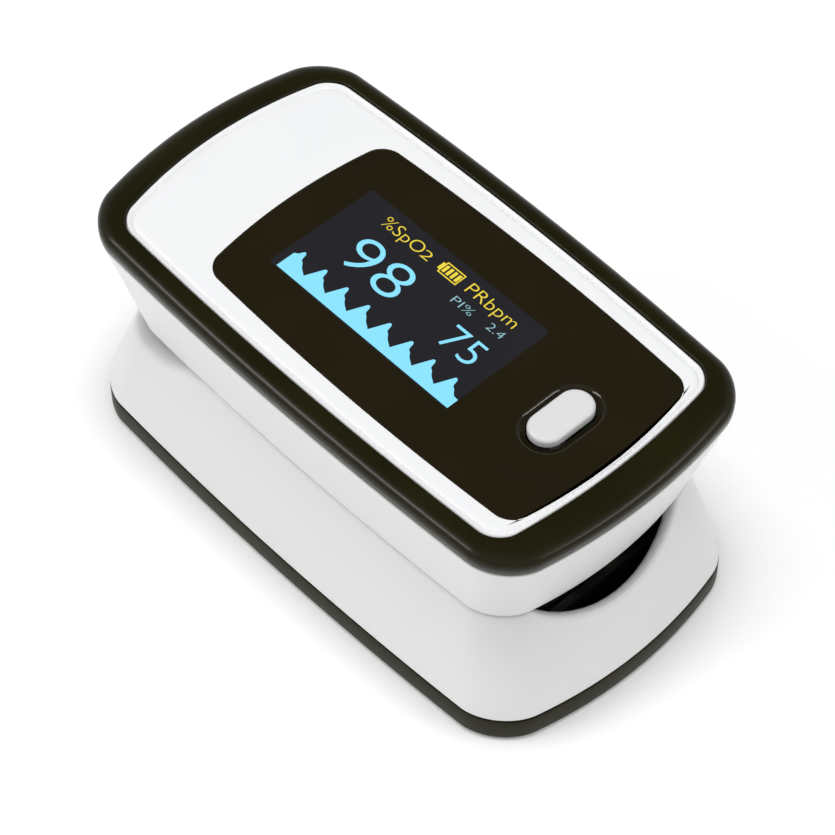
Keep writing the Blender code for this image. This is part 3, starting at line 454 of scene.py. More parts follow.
def skin(builder, rings, ends="ring"):
    """Joins rings of points in turn. ends is ring, which joins the last to the first, or caps."""
    rows = [[builder.verts.new(point) for point in points] for points in rings]
    pairs = list(zip(rows, rows[1:]))
    if ends == "ring":
        pairs.append((rows[-1], rows[0]))
    for lower, upper in pairs:
        for i in range(len(lower)):
            j = (i + 1) % len(lower)
            builder.faces.new((lower[i], lower[j], upper[j], upper[i]))
    if ends == "caps":
        builder.faces.new(list(reversed(rows[0])))
        builder.faces.new(rows[-1])


def loft(name, rings, ends="ring", sharp=SHARP):
    """An object whose skin runs through the rings in turn."""
    builder = bmesh.new()
    skin(builder, rings, ends)
    return mesh_object(name, builder, sharp)


def turned(builder, profile, centre, steps=32):
    """Adds a solid turned about a Z axis through centre: profile is (radius, height) pairs in turn."""
    rings = []
    for radius, height in profile:
        points = []
        for step in range(steps):
            angle = 2 * math.pi * step / steps
            point = Vector((radius * math.cos(angle), radius * math.sin(angle), height))
            points.append(point + Vector(centre))
        rings.append(points)
    skin(builder, rings, "caps")


def cut(piece, cutter, operation="DIFFERENCE"):
    """Cuts a piece with another, or keeps what they share, and removes the cutter."""
    modifier = piece.modifiers.new("Cut", "BOOLEAN")
    modifier.object = cutter
    modifier.operation = operation
    modifier.solver = "EXACT"
    bpy.context.view_layer.update()
    made = bpy.data.meshes.new_from_object(piece.evaluated_get(bpy.context.evaluated_depsgraph_get()))
    piece.modifiers.clear()
    piece.data = made
    bpy.data.objects.remove(cutter)
    piece.data.shade_smooth()
    piece.data.set_sharp_from_angle(angle=math.radians(SHARP))


def cutter_block(low, high):
    """A box between two corners, to cut with."""
    centre = (Vector(low) + Vector(high)) / 2
    size = Vector(high) - Vector(low)
    builder = bmesh.new()
    bmesh.ops.create_cube(builder, size=1.0, matrix=Matrix.Translation(centre) @ Matrix.Diagonal((*size, 1)))
    return mesh_object("cutter", builder)


def cutter_turned(profile, centre):
    """A turned solid, to cut with."""
    builder = bmesh.new()
    turned(builder, profile, centre)
    return mesh_object("cutter", builder)


def place(piece, material, slot, body, *nodes):
    """Gives a piece its finish, sets it on its body, and hides the CAD nodes it stands for. The slot is not
    used.
    """
    piece.data.materials.clear()
    piece.data.materials.append(material)
    if nodes:
        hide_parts(*nodes)
    if body:
        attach(piece, body)


# ---------------------------------------------------------------- upper jaw


def upper_case():
    """White shell that tapers down to a crisp edge at the waist, with a shelf inside under the bezel."""
    low = PARTING_Z + PARTING_GAP / 2
    high = RIM_LOW.z - 0.08
    top = inset(RIM, 0.12)
    edge, top_edge = 0.12, 0.15  # heights of the rounding at the waist and at the top
    shelf_width, shelf_depth = 2.6, 1.1
    steps = 12
    rings = [ring(inset(WAIST, 0.25), low), ring(inset(WAIST, 0.05), low + 0.03), ring(WAIST, low + edge)]
    for step in range(1, steps + 1):
        share = step / steps
        rings.append(ring(between(WAIST, top, share), low + edge + share * (high - top_edge - low - edge)))
    rings.append(ring(inset(top, 0.06), high - 0.04))
    rings.append(ring(inset(top, 0.2), high))
    rings.append(ring(inset(top, shelf_width), high))
    rings.append(ring(inset(top, shelf_width + 0.2), high - shelf_depth))
    rings.append(ring(inset(top, WALL + 0.2), high - shelf_depth - 0.3))
    rings.append(ring(inset(between(WAIST, top, 0.5), WALL), (low + high) / 2))
    rings.append(ring(inset(WAIST, WALL), low + 0.1))
    rings.append(ring(inset(WAIST, WALL - 0.15), low))
    place(loft("upper_case_shell", rings), WHITE_ABS, "white_case", "upper_jaw", "upper_case")


def rim_band():
    """Polished bezel: a flat-topped roll from the panel's border down to a short upright side."""
    reach = 0.95  # how much of the bezel's width the roll takes
    flatness, fullness = 0.8, 0.9  # under 1, they square the roll's shoulder
    steps = 18
    rings = [ring(PANEL, RIM_LOW.z), ring(PANEL, RIM_HIGH.z - 0.12)]
    rings.append(ring(inset(PANEL, -0.05), RIM_HIGH.z - 0.03))
    for step in range(steps + 1):
        angle = math.radians(max(92 * (1 - step / steps) - 2, 0))
        share = reach * (1 - math.cos(angle) ** flatness)
        z = RIM_WIDEST + (RIM_HIGH.z - RIM_WIDEST) * math.sin(angle) ** fullness
        rings.append(ring(between(RIM, PANEL, share), z))
    rings.append(ring(inset(RIM, 0.02), RIM_LOW.z + 0.3))
    rings.append(ring(inset(RIM, 0.14), RIM_LOW.z + 0.06))
    rings.append(ring(inset(RIM, 0.3), RIM_LOW.z))
    place(loft("rim_bezel", rings, sharp=40), DARK_ABS, "dark_rim", "upper_jaw", "rim_band")


def top_panel():
    """White cover sheet: a bead against the bezel, a fine groove inside it, then a flat face."""
    edge = inset(PANEL, SEAM)
    seat_z = RIM_LOW.z + 0.1
    # the bead and the groove: (distance in from the edge, height over the flat face)
    profile = [(0.0, -0.45), (0.03, -0.05), (0.14, 0.06), (0.28, 0.04), (0.4, -0.1), (0.5, -0.26)]
    profile += [(0.6, -0.27), (0.66, -0.14), (0.74, -0.06), (0.86, -0.02), (1.05, 0.0)]
    rings = [ring(edge, seat_z)]
    rings += [ring(inset(edge, run), PANEL_TOP + rise) for run, rise in profile]
    hole = inset(LENS, -0.03)
    groove_end, window_edge = rings[-1], ring(hole, PANEL_TOP)
    rings += [ring_between(groove_end, window_edge, share) for share in (0.2, 0.4, 0.6, 0.8)]
    rings += [window_edge, ring(hole, LENS_LOW.z + 0.02)]
    ledge = inset(LENS, 1.0)
    rings += [ring(ledge, LENS_LOW.z - 0.05), ring(ledge, seat_z)]
    panel = loft("white_cover_panel", rings, sharp=50)
    place(panel, WHITE_ACRYLIC, "white_panel", "upper_jaw", "top_panel")


def button_ring(grow, z):
    """The button's stadium outline, grown by a distance."""
    half_length = BUTTON_HALF_LENGTH + grow
    stadium = (BUTTON_HALF_WIDTH + grow, half_length, 0, 0, 0, half_length * ROUND_END, BUTTON_Y)
    return [(x + BUTTON_X, y, z) for x, y in outline(stadium)]


def display_lens():
    """Smoked window with a dished well round the button. A narrow ring keeps its flat face truly flat."""
    rings = [ring(inset(LENS, 0.1), LENS_LOW.z), ring(LENS, LENS_LOW.z + 0.1)]
    rings += [ring(LENS, PANEL_TOP - 0.04), ring(inset(LENS, 0.04), PANEL_TOP)]
    rings.append(ring(inset(LENS, 0.07), PANEL_TOP))
    near, far = button_ring(1.5, PANEL_TOP), ring(LENS, PANEL_TOP)
    rings += [ring_between(far, near, share) for share in (0.3, 0.6, 0.85)]
    clearance, well_width, well_depth = 0.12, 0.95, 0.6
    steps = 10
    for step in range(steps + 1):
        share = step / steps
        depth = well_depth * smooth_step(share)
        rings.append(button_ring(clearance + well_width * (1 - share), PANEL_TOP - depth))
    rings.append(button_ring(clearance, LENS_LOW.z))
    place(loft("display_window", rings, sharp=50), SMOKED_ACRYLIC, "lens", "upper_jaw", "display_lens")


def power_button():
    """Flat-topped push cap with rolled edges, on its stem."""
    low, high = BUTTON_LOW.z, BUTTON_HIGH.z
    cap_low = LENS_LOW.z + 0.35
    stem, chamfer = 1.2, 0.1
    crown = 0.05  # how far the face rises from its rolled edge to its middle
    roll = 0.42
    steps = 8
    circle = (stem, stem, 0, 0, 0, stem * 0.99, BUTTON_Y)
    rings = [ring(inset(circle, chamfer), low), ring(circle, low + chamfer)]
    rings += [ring(circle, cap_low), button_ring(-chamfer, cap_low), button_ring(0, cap_low + chamfer)]
    for step in range(steps + 1):
        angle = math.radians(90 * step / steps)
        run = -roll * (1 - math.cos(angle))
        rings.append(button_ring(run, high - crown - roll * (1 - math.sin(angle))))
    rings += [button_ring(-0.9, high - 0.01), button_ring(-1.5, high)]
    place(loft("button_cap", rings, "caps", 40), CAP_ABS, "button", "button", "power_button")


# ---------------------------------------------------------------- display figures

SCREEN_HALF = (6.4, 11.75)  # the lit area, half across and half along
SCREEN_CORNER = 0.35
SCREEN_LIFT = 0.008  # over the window's face
FIGURE_LIFT = 0.016
SHEET = 0.004  # thickness of the figures' layer
CAP_HEIGHT = 0.729  # of the built-in letters, at size 1


def figure_matrix(u, v):
    """Puts a figure at u along the reading direction and v up the display."""
    turn = Matrix.Rotation(math.radians(-90), 4, "Z")
    return Matrix.Translation(Vector((v, -u, PANEL_TOP + FIGURE_LIFT)) * MM) @ turn


def screen_glass():
    """The unlit part of the display: a plain blue-grey rectangle in the window."""
    half_v, half_u = SCREEN_HALF
    rings = []
    for shrink, lift in ((0.0, 0.0), (0.05, SCREEN_LIFT), (0.3, SCREEN_LIFT), (2.0, SCREEN_LIFT)):
        rings.append(ring((half_v - shrink, half_u - shrink, 0, 0, 0, SCREEN_CORNER, 0), PANEL_TOP + lift))
    place(loft("screen_glass", rings, "caps"), OLED_GLASS, "display", "upper_jaw")


def figures(name, text, left, right, base, height, material, thin=-0.014):
    """Text as a thin lit sheet from left to right along the display, its capitals height tall over base."""
    curve = bpy.data.curves.new(name, "FONT")
    curve.body = text
    curve.size = 1.0
    curve.resolution_u = 6
    curve.offset = thin
    holder = bpy.data.objects.new(name, curve)
    bpy.context.scene.collection.objects.link(holder)
    bpy.context.view_layer.update()
    mesh = bpy.data.meshes.new_from_object(holder.evaluated_get(bpy.context.evaluated_depsgraph_get()))
    bpy.data.objects.remove(holder)
    low_x = min(v.co.x for v in mesh.vertices)
    high_x = max(v.co.x for v in mesh.vertices)
    builder = bmesh.new()
    builder.from_mesh(mesh)
    stretch = (right - left) / (high_x - low_x)
    for vert in builder.verts:
        vert.co.x = (vert.co.x - low_x) * stretch
        vert.co.y = vert.co.y * height / CAP_HEIGHT
    lit_sheet(name, builder, left, base, material)


def lit_sheet(name, builder, u, v, material):
    """Gives a flat figure its thickness and lays it on the display."""
    bmesh.ops.remove_doubles(builder, verts=builder.verts, dist=0.0005)
    grown = bmesh.ops.extrude_face_region(builder, geom=builder.faces[:])
    for item in grown["geom"]:
        if isinstance(item, bmesh.types.BMVert):
            item.co.z += SHEET
    piece = mesh_object(name, builder)
    piece.data.transform(figure_matrix(u, v))
    place(piece, material, "display", "upper_jaw")


def pulse_wave():
    """Filled pulse trace: eight beats, each a quick rise, a rounded crest, a shoulder and a fall."""
    left, right, base = -10.9, 11.75, -6.25
    beats, beat, first = 8, 2.87, -10.2
    crest, valley = -3.3, -5.3
    start, end = -4.1, -4.95  # the trace's heights at its two ends
    rise_stretch = 1.1
    # one beat: (distance past the crest, share of the height)
    shape = [(-0.85, 0.0), (-0.3, 0.72), (-0.12, 0.95), (0.0, 1.0), (0.16, 0.98), (0.28, 0.86), (0.36, 0.66)]
    shape += [(0.45, 0.56), (0.78, 0.46), (1.05, 0.3), (1.3, 0.2), (1.7, 0.08)]
    top = [(left, start)]
    for number in range(beats):
        for along, rise in shape:
            u = first + number * beat + along * (1.0 if along > 0 else rise_stretch)
            if left < u < right - 0.25:
                top.append((u, valley + rise * (crest - valley)))
    top.append((right, end))
    builder = bmesh.new()
    upper = [builder.verts.new((u, v, 0)) for u, v in top]
    lower = [builder.verts.new((u, base, 0)) for u, v in top]
    for i in range(len(top) - 1):
        builder.faces.new((lower[i], lower[i + 1], upper[i + 1], upper[i]))
    lit_sheet("pulse_trace", builder, 0, 0, CYAN_PIXELS)


def battery_icon():
    """Outline of a cell with its nub and four charge bars."""
    left, right, low, high = -0.45, 1.95, 3.95, 5.45
    line, margin, nub = 0.13, 0.3, 0.28
    bars, bar_start, bar_gap = 4, 0.12, 0.2
    strips = [(left, right, low, low + line), (left, right, high - line, high)]
    strips += [(left, left + line, low + line, high - line), (right - line, right, low + line, high - line)]
    strips.append((left - nub, left, low + margin, high - margin))
    pitch = (right - left - 2 * line) / bars
    for bar in range(bars):
        start = left + line + pitch * bar + bar_start
        strips.append((start, start + pitch - bar_gap, low + margin, high - margin))
    builder = bmesh.new()
    for u0, u1, v0, v1 in strips:
        corners = [(u0, v0, 0), (u1, v0, 0), (u1, v1, 0), (u0, v1, 0)]
        builder.faces.new([builder.verts.new(corner) for corner in corners])
    lit_sheet("charge_icon", builder, 0, 0, YELLOW_PIXELS)


def display_figures():
    """What the display shows: labels in yellow, the two readings and the pulse in cyan, one small value."""
    screen_glass()
    figures("oxygen_label", "%SpO", -8.15, -3.05, 4.02, 1.45, YELLOW_PIXELS)
    figures("oxygen_label_2", "2", -2.9, -1.85, 4.02, 1.15, YELLOW_PIXELS)
    figures("pulse_label", "PRbpm", 2.95, 9.15, 4.1, 1.45, YELLOW_PIXELS)
    figures("perfusion_label", "PI%", 2.95, 5.5, 2.35, 0.97, PALE_PIXELS)
    figures("perfusion_value", "2.4", 7.4, 9.3, 2.5, 0.98, PALE_PIXELS)
    figures("oxygen_value", "98", -7.8, -0.75, -1.8, 4.5, CYAN_PIXELS, -0.012)
    figures("pulse_value", "75", 5.5, 9.6, -1.8, 3.1, CYAN_PIXELS, -0.01)
    battery_icon()
    pulse_wave()


# ---------------------------------------------------------------- lower jaw


def lower_section(share):
    """The lower shell's outline, a share of the way down from the waist to the foot."""
    eased = share * (1 + FLARE) - FLARE * share * share
    return between(WAIST, BASE, eased)


def edge_drop(x, y):
    """How far the lower shell's edge lies below the waist: the mouth's arc, or the squeeze gap behind."""
    if y < 0:
        radius = (MOUTH_HALF_WIDTH**2 + MOUTH_DEPTH**2) / (2 * MOUTH_DEPTH)
        if abs(x) >= MOUTH_HALF_WIDTH or y > -WAIST[1] / 2:
            return 0.0
        return MOUTH_DEPTH - radius + math.sqrt(radius * radius - x * x)
    return SQUEEZE_GAP * smooth_step((y - GAP_START_Y) / (GAP_FULL_Y - GAP_START_Y))


# The lower shell's lip, from outside in: (distance in, drop below the edge)
CRISP_LIP = [(0, 0.3), (0.03, 0.12), (0.12, 0.02), (0.3, 0), (0.8, 0), (1.1, 0.02), (1.27, 0.15), (1.3, 0.7)]
MOUTH_LIP = [(0, 0.5), (0.03, 0.25), (0.12, 0.08), (0.3, 0)]
MOUTH_LIP += [(0.75, 0.06), (1.05, 0.22), (1.25, 0.5), (1.3, 1.1)]
GAP_LIP = [(0, 0.8), (0.06, 0.5), (0.2, 0.28), (0.5, 0.14)]
GAP_LIP += [(1.1, 0.1), (1.6, 0.15), (1.78, 0.35), (1.5, 0.85)]


def lower_case():
    """White shell that flares to the foot, with a rolled lip at the mouth and a dip for the squeeze gap."""
    high, low = PARTING_Z - PARTING_GAP / 2, BAND_TOP + 0.28
    span = high - low
    waist = outline(WAIST)
    places = range(len(waist))
    dips = [0.0 for _ in places]
    for _ in range(4):  # the shell flares as it dips, so each place's own dip is settled in a few rounds
        for i in places:
            x, y = outline(lower_section(dips[i] / span))[i]
            dips[i] = edge_drop(x, y)
    levels, per_mm, deepest = 40, 20, 36  # steps down the shell, steps in per mm, and the last step in
    shells = [
        [outline(inset(lower_section(k / levels), d / per_mm)) for k in range(levels + 1)]
        for d in range(deepest + 1)
    ]

    def point(i, drop, distance):
        """The wall at one place round it: a drop down from the waist, and a distance in from outside."""
        down = min(max(drop / span, 0), 1) * levels
        deep = min(max(distance * per_mm, 0), deepest)
        k, d = min(int(down), levels - 1), min(int(deep), deepest - 1)
        near = Vector(shells[d][k][i]).lerp(Vector(shells[d][k + 1][i]), down - k)
        far = Vector(shells[d + 1][k][i]).lerp(Vector(shells[d + 1][k + 1][i]), down - k)
        flat = near.lerp(far, deep - d)
        return (flat.x, flat.y, high - drop)

    def lip(i, k):
        """The lip's step k at one place: (drop, distance in), crisp where the edge doesn't dip."""
        in_front = waist[i][1] < 0
        weight = smooth_step(dips[i] / (1.2 if in_front else 0.9))
        rolled = MOUTH_LIP if in_front else GAP_LIP
        distance, drop = between(CRISP_LIP[k], rolled[k], weight)
        return dips[i] + drop, distance

    wall_rows, foot_edge = 14, 0.12
    foot = [(span, WALL), (span, 0.16), (span - 0.02, 0.04), (span - foot_edge, 0.0)]
    rows = [[point(i, drop, distance) for i in places] for drop, distance in foot]
    for step in range(wall_rows):
        share = 1 - (step + 1) / (wall_rows + 1)
        starts = [lip(i, 0)[0] for i in places]
        rows.append([point(i, starts[i] + share * (span - foot_edge - starts[i]), 0.0) for i in places])
    for k in range(len(CRISP_LIP)):
        rows.append([point(i, *lip(i, k)) for i in places])
    for share in (0.25, 0.6):
        rows.append([point(i, *between(lip(i, -1), (span, WALL), share)) for i in places])
    shell = loft("lower_case_shell", rows, sharp=50)
    place(shell, WHITE_ABS, "white_case", "lower_jaw", "lower_case")


# The deck's rear skirt is drawn as a white lip, which stands on a narrower tongue.
SKIRT_STEP = 13.45  # the height at which the lip starts
SKIRT_START_Y = 12.0  # it runs round the rear from here


def rear_skirt():
    """White lip inside the rear of the lower jaw, which closes the squeeze gap from within."""
    low, top = 12.5, 15.3
    outside, tongue, inside = 0.02, 0.3, 0.8  # how far in from the deck's outline each face lies
    edge = 0.15
    profile = [(outside, low), (outside, top - edge), (edge, top)]
    profile += [(inside - edge, top), (inside, top - edge), (inside, SKIRT_STEP)]
    profile += [(tongue, SKIRT_STEP), (tongue, low)]
    skirt = loft("rear_skirt", [ring(inset(TRAY, distance), z) for distance, z in profile])
    cut(skirt, cutter_block((-20, -40, 5), (20, SKIRT_START_Y, 20)))
    place(skirt, WHITE_ABS, "white_case", "lower_jaw")


def lower_tray():
    """The lower deck without its skirt, which the white lip stands for."""
    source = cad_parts["lower_tray"]
    piece = bpy.data.objects.new("lower_deck", source.data.copy())
    bpy.context.scene.collection.objects.link(piece)
    inside, step, step_z = 0.93, 0.33, SKIRT_STEP - 0.03
    profile = [(-1, 12), (-1, 20), (inside, 20), (inside, step_z), (step, step_z), (step, 12)]
    cutter = loft("cutter", [ring(inset(TRAY, distance), z) for distance, z in profile])
    cut(cutter, cutter_block((-20, -40, 5), (20, SKIRT_START_Y - 0.1, 30)))
    cut(piece, cutter)
    place(piece, BLACK_ABS, "tray", "lower_jaw", "lower_tray")


def foot(name, low, floor):
    """The foot: tucked under, upright, turned in at a shadow line under the case, with a floor inside."""
    tuck = 0.75
    rings = []
    for step in range(7):
        angle = math.radians(15 * step)
        rings.append(ring(inset(BASE, tuck * (1 - math.sin(angle))), low + tuck * (1 - math.cos(angle))))
    rings += [ring(BASE, BAND_TOP - 0.3), ring(inset(BASE, 0.06), BAND_TOP - 0.08)]
    rings += [ring(inset(BASE, 0.2), BAND_TOP), ring(inset(BASE, 1.4), BAND_TOP)]
    rings += [ring(inset(BASE, 1.5), BAND_TOP - 0.1), ring(inset(BASE, 1.5), floor)]
    return loft(name, rings, "caps")


def screw_wells(piece):
    """Holes and head seats for the base screws."""
    for number in range(1, 5):
        low, high = node_box(f"lower_screw_{number}")
        centre = ((low.x + high.x) / 2, (low.y + high.y) / 2, 0)
        # (radius, height): a mouth that narrows to the head's seat, then the shank's hole
        profile = [(1.45, -1.0), (1.3, 0.25), (1.3, 0.95), (0.9, 0.951), (0.9, 4.0)]
        cut(piece, cutter_turned(profile, centre))


def base_band():
    """Dark foot with a floor, the door's opening and screw wells."""
    gap = 0.2  # round the door
    piece = foot("foot_band", 0.0, 1.3)
    opening_low = (-COVER_HIGH.x - gap, COVER_LOW.y - gap, -2)
    cut(piece, cutter_block(opening_low, (COVER_HIGH.x + gap, 40, 6)))
    screw_wells(piece)
    place(piece, BASE_ABS, "dark_base", "lower_jaw", "base_band")


def battery_cover():
    """Sliding door under the cells: its rear edge is a stretch of the foot, and ribs near it give grip."""
    low = COVER_LOW.z
    ribs, rib_pitch, first_rib_y = 7, 1.3, 16.5
    longest, shorter_by = 5.2, 0.35  # half lengths: the middle rib's, and how each next one falls short
    rib_half, rib_depth = 0.32, 0.35
    cover = foot("battery_door", low, low + 1.2)
    cut(cover, cutter_block((COVER_LOW.x, COVER_LOW.y, -2), (COVER_HIGH.x, 40, 6)), "INTERSECT")
    for rib in range(ribs):
        y = first_rib_y + rib * rib_pitch
        half = longest - shorter_by * abs(rib - ribs // 2)
        cut(cover, cutter_block((-half, y - rib_half, low - 1), (half, y + rib_half, low + rib_depth)))
    place(cover, BASE_ABS, "dark_base", "cover", "battery_cover")


# ---------------------------------------------------------------- finger pads


def pad(name, body, node, rows, half_width, light_z):
    """A silicone pad with a hole for the light: rows are (y, underside, face, how much narrower it is).

    underside and face give a height for each x.
    """
    builder = bmesh.new()
    across = 28
    grid_low, grid_high = [], []
    for y, under, face, tighten in rows:
        low_row, high_row = [], []
        for i in range(across + 1):
            x = (2 * i / across - 1) * (half_width - tighten)
            low_row.append(builder.verts.new((x, y, under(x))))
            high_row.append(builder.verts.new((x, y, face(x))))
        grid_low.append(low_row)
        grid_high.append(high_row)
    for grid, flip in ((grid_low, True), (grid_high, False)):
        for a, b in zip(grid, grid[1:]):
            for i in range(across):
                quad = [a[i], a[i + 1], b[i + 1], b[i]]
                builder.faces.new(list(reversed(quad)) if flip else quad)
    for end in (0, -1):
        below, above = grid_low[end], grid_high[end]
        for i in range(across):
            builder.faces.new((below[i], below[i + 1], above[i + 1], above[i]))
    for side in (0, -1):
        for a, b, c, d in zip(grid_low, grid_low[1:], grid_high, grid_high[1:]):
            builder.faces.new((a[side], b[side], d[side], c[side]))
    piece = mesh_object(name, builder, 45)
    cut(piece, cutter_turned([(LIGHT_PORT, -8.0), (LIGHT_PORT, 8.0)], (0, SENSE_Y, light_z)))
    place(piece, SILICONE, "finger_pad", body, node)


def groove(y):
    """A row of shallow cross ribs, so that the finger doesn't slip. They fade out at the mouth."""
    pitch, depth, fade_y, fade_length = 2.4, 0.08, -18, 4
    fade = smooth_step((y - fade_y) / fade_length)
    return fade * depth * max(0.0, math.cos(2 * math.pi * y / pitch)) ** 6


def pad_rows(y0, y1, make):
    """Cross sections from one end of a pad to the other, drawn in at both ends to round its corners."""
    corner, drawn_in = 0.9, 0.6
    rows = []
    for step in range(PAD_STEPS + 1):
        share = step / PAD_STEPS
        near_end = min(share, 1 - share) * (y1 - y0)
        tighten = drawn_in * (1 - min(near_end / corner, 1)) ** 2
        rows.append(make(y0 + share * (y1 - y0), tighten))
    return rows


def edge_roll(x, half_width, tighten):
    """How far the face falls away near the pad's sides and ends."""
    roll = 0.8
    reach = max(0.0, abs(x) - (half_width - roll)) / roll
    return 0.7 * reach * reach + 0.8 * tighten


def lower_finger_pad():
    """Trough under the finger, with an apron that slopes down to the mouth."""
    low, high = LOWER_PAD
    half = high.x
    rest = 13.7  # height of the deck that it lies on
    thin = 0.7  # its thickness along the middle
    apron_y = -22.8

    def make(y, tighten):
        drop = 0.0 if y > apron_y else (apron_y - y) / (apron_y - low.y) * (rest - low.z - 0.05)

        def under(x):
            return rest - drop

        def face(x):
            channel = rest + thin + PAD_CURVE - math.sqrt(max(PAD_CURVE**2 - x * x, 1))
            top = min(channel, high.z) - drop - groove(y) - edge_roll(x, half, tighten)
            return max(top, rest - drop + 0.25)

        return y, under, face, tighten

    rows = pad_rows(low.y + 0.05, high.y, make)
    pad("lower_silicone_pad", "lower_jaw", "lower_finger_pad", rows, half, 15)


def upper_finger_pad():
    """Matching trough over the finger."""
    low, high = UPPER_PAD
    half = high.x
    thin = 0.7

    def make(y, tighten):
        def under(x):
            return high.z

        def face(x):
            channel = high.z - thin - PAD_CURVE + math.sqrt(max(PAD_CURVE**2 - x * x, 0.5))
            return min(max(channel, low.z) + groove(y) + edge_roll(x, half, tighten), high.z - 0.25)

        return y, under, face, tighten

    rows = pad_rows(low.y, high.y, make)
    pad("upper_silicone_pad", "upper_jaw", "upper_finger_pad", rows, half, 18)


# ---------------------------------------------------------------- fasteners, hinge and wiring


def screw(node, body):
    """Pan-head screw with a cross recess and a threaded shank."""
    low, high = node_box(node)
    centre = ((low.x + high.x) / 2, (low.y + high.y) / 2, 0)
    head = (high.x - low.x) / 2
    head_high = low.z + 0.7
    root, crest, pitch = 0.46, 0.6, 0.5
    # (radius, height) from the crown of the head up the shank to its tip
    profile = [(0.35, low.z), (head * 0.72, low.z + 0.04), (head * 0.95, low.z + 0.2)]
    profile += [(head, low.z + 0.4), (head, head_high), (crest, head_high + 0.01)]
    z = head_high + 0.2
    while z + pitch < high.z - 0.4:
        profile += [(root, z), (crest, z + 0.16), (crest, z + 0.2), (root, z + 0.36)]
        z += pitch
    profile.append((0.15, high.z))
    builder = bmesh.new()
    turned(builder, profile, centre, 24)
    piece = mesh_object(node + "_turned", builder, 30)
    arm, half_slot, recess = 0.62, 0.13, 0.38
    for x, y in ((half_slot, arm), (arm, half_slot)):
        corner = (centre[0] - x, centre[1] - y, low.z - 0.3)
        cut(piece, cutter_block(corner, (centre[0] + x, centre[1] + y, low.z + recess)))
    place(piece, ZINC, "fastener", body, node)


def ribbon_cable():
    """Flat ribbon from the upper board down behind the finger's stop to the sensor, with a slack bow and a
    bend at its foot.
    """
    low, high = node_box("flex_cable")
    half_width, half_thick = (high.x - low.x) / 2, 0.15
    plane_y = 12.5
    bulge, bulge_top, bulge_foot = 0.9, 20.3, 13.7  # the slack that lets the jaws open, and its heights
    bulge_steps, bend_steps, bend = 16, 7, 1.0
    line = [(plane_y, high.z), (plane_y, bulge_top + 0.3)]
    for step in range(1, bulge_steps):
        share = step / bulge_steps
        sway = bulge * math.sin(math.pi * share) ** 2
        line.append((plane_y + sway, bulge_top + share * (bulge_foot - bulge_top)))
    centre = Vector((plane_y - bend, low.z + half_thick + bend))
    for step in range(bend_steps):
        angle = math.radians(-15 * step)
        line.append((centre.x + bend * math.cos(angle), centre.y + bend * math.sin(angle)))
    line.append((low.y, low.z + half_thick))
    rows = []
    for index, (y, z) in enumerate(line):
        before = Vector(line[max(index - 1, 0)])
        after = Vector(line[min(index + 1, len(line) - 1)])
        along = (after - before).normalized()
        side = Vector((along.y, -along.x)) * half_thick
        corners = ((-half_width, 1), (half_width, 1), (half_width, -1), (-half_width, -1))
        rows.append([(x, y + way * side.x, z + way * side.y) for x, way in corners])
    piece = loft("polyimide_ribbon", rows, "caps", 50)
    place(piece, POLYIMIDE, "ribbon", None, "flex_cable")
    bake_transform(piece)


def torsion_spring(node):
    """The coil keeps its CAD shape."""
    piece = bpy.data.objects.new(node + "_coil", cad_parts[node].data.copy())
    bpy.context.scene.collection.objects.link(piece)
    piece.data.shade_smooth()
    place(piece, NICKEL, "contact", None, node)
    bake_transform(piece)


def battery(number):
    """AAA cell: sleeve with rolled ends, a steel can end and a stepped nub."""
    node = f"battery_{number}"
    low, high = node_box(node)
    centre = ((low.x + high.x) / 2, (low.y + high.y) / 2, (low.z + high.z) / 2)
    radius = (high.x - low.x) / 2
    half = (high.y - low.y) / 2
    way = 1 if abs(high.y) > abs(low.y) else -1
    # (radius, place along the cell): the flat end, the sleeve's rolled ends, the shoulder and the nub
    profile = [(2.6, -half), (4.2, -half), (4.3, -half + 0.15), (radius - 0.35, -half + 0.15)]
    profile += [(radius, -half + 0.5), (radius, half - 1.7), (radius - 0.35, half - 1.3), (3.9, half - 1.25)]
    profile += [(3.8, half - 1.2), (2.0, half - 1.15), (1.9, half - 1.05), (1.9, half - 0.1), (1.75, half)]
    builder = bmesh.new()
    turned(builder, profile, (0, 0, 0), 48)
    turn = Matrix.Rotation(math.radians(-90 * way), 4, "X")
    bmesh.ops.transform(builder, matrix=Matrix.Translation(centre) @ turn, verts=builder.verts)
    piece = mesh_object(f"aaa_cell_{number}", builder, 35)
    place(piece, SLEEVE, "cell", "lower_jaw", node)
    piece.data.materials.append(NICKEL)
    for face in piece.data.polygons:
        along = (face.center.y / MM - centre[1]) * way
        if along < -half + 0.3 or along > half - 1.26:  # clear of the sleeve
            face.material_index = 1


CARRIED = {
    "display_module": OLED_GLASS,
    "display_gasket": FOAM,
    "main_board": CIRCUIT_BOARD,
    "emitter_board": CIRCUIT_BOARD,
    "sensor_board": CIRCUIT_BOARD,
    "processor_chip": EPOXY,
    "tact_switch": TINNED_STEEL,
    "upper_tray": BLACK_ABS,
    "battery_cradle": BLACK_ABS,
    "emitter_led": LED_PACKAGE,
    "photodiode": DIODE,
    "emitter_window": RED_PC,
    "sensor_window": RED_PC,
    "hinge_pin": ZINC,
    "battery_spring_1": NICKEL,
    "battery_spring_2": NICKEL,
    "battery_terminal_1": NICKEL,
    "battery_terminal_2": NICKEL,
    "battery_link_plate": NICKEL,
}


def carried_nodes():
    """Nodes whose CAD shape is right keep it, and take their real finish."""
    for name, material in CARRIED.items():
        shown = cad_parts[name]
        shown.data.materials.clear()
        shown.data.materials.append(material)


# ---------------------------------------------------------------- stage


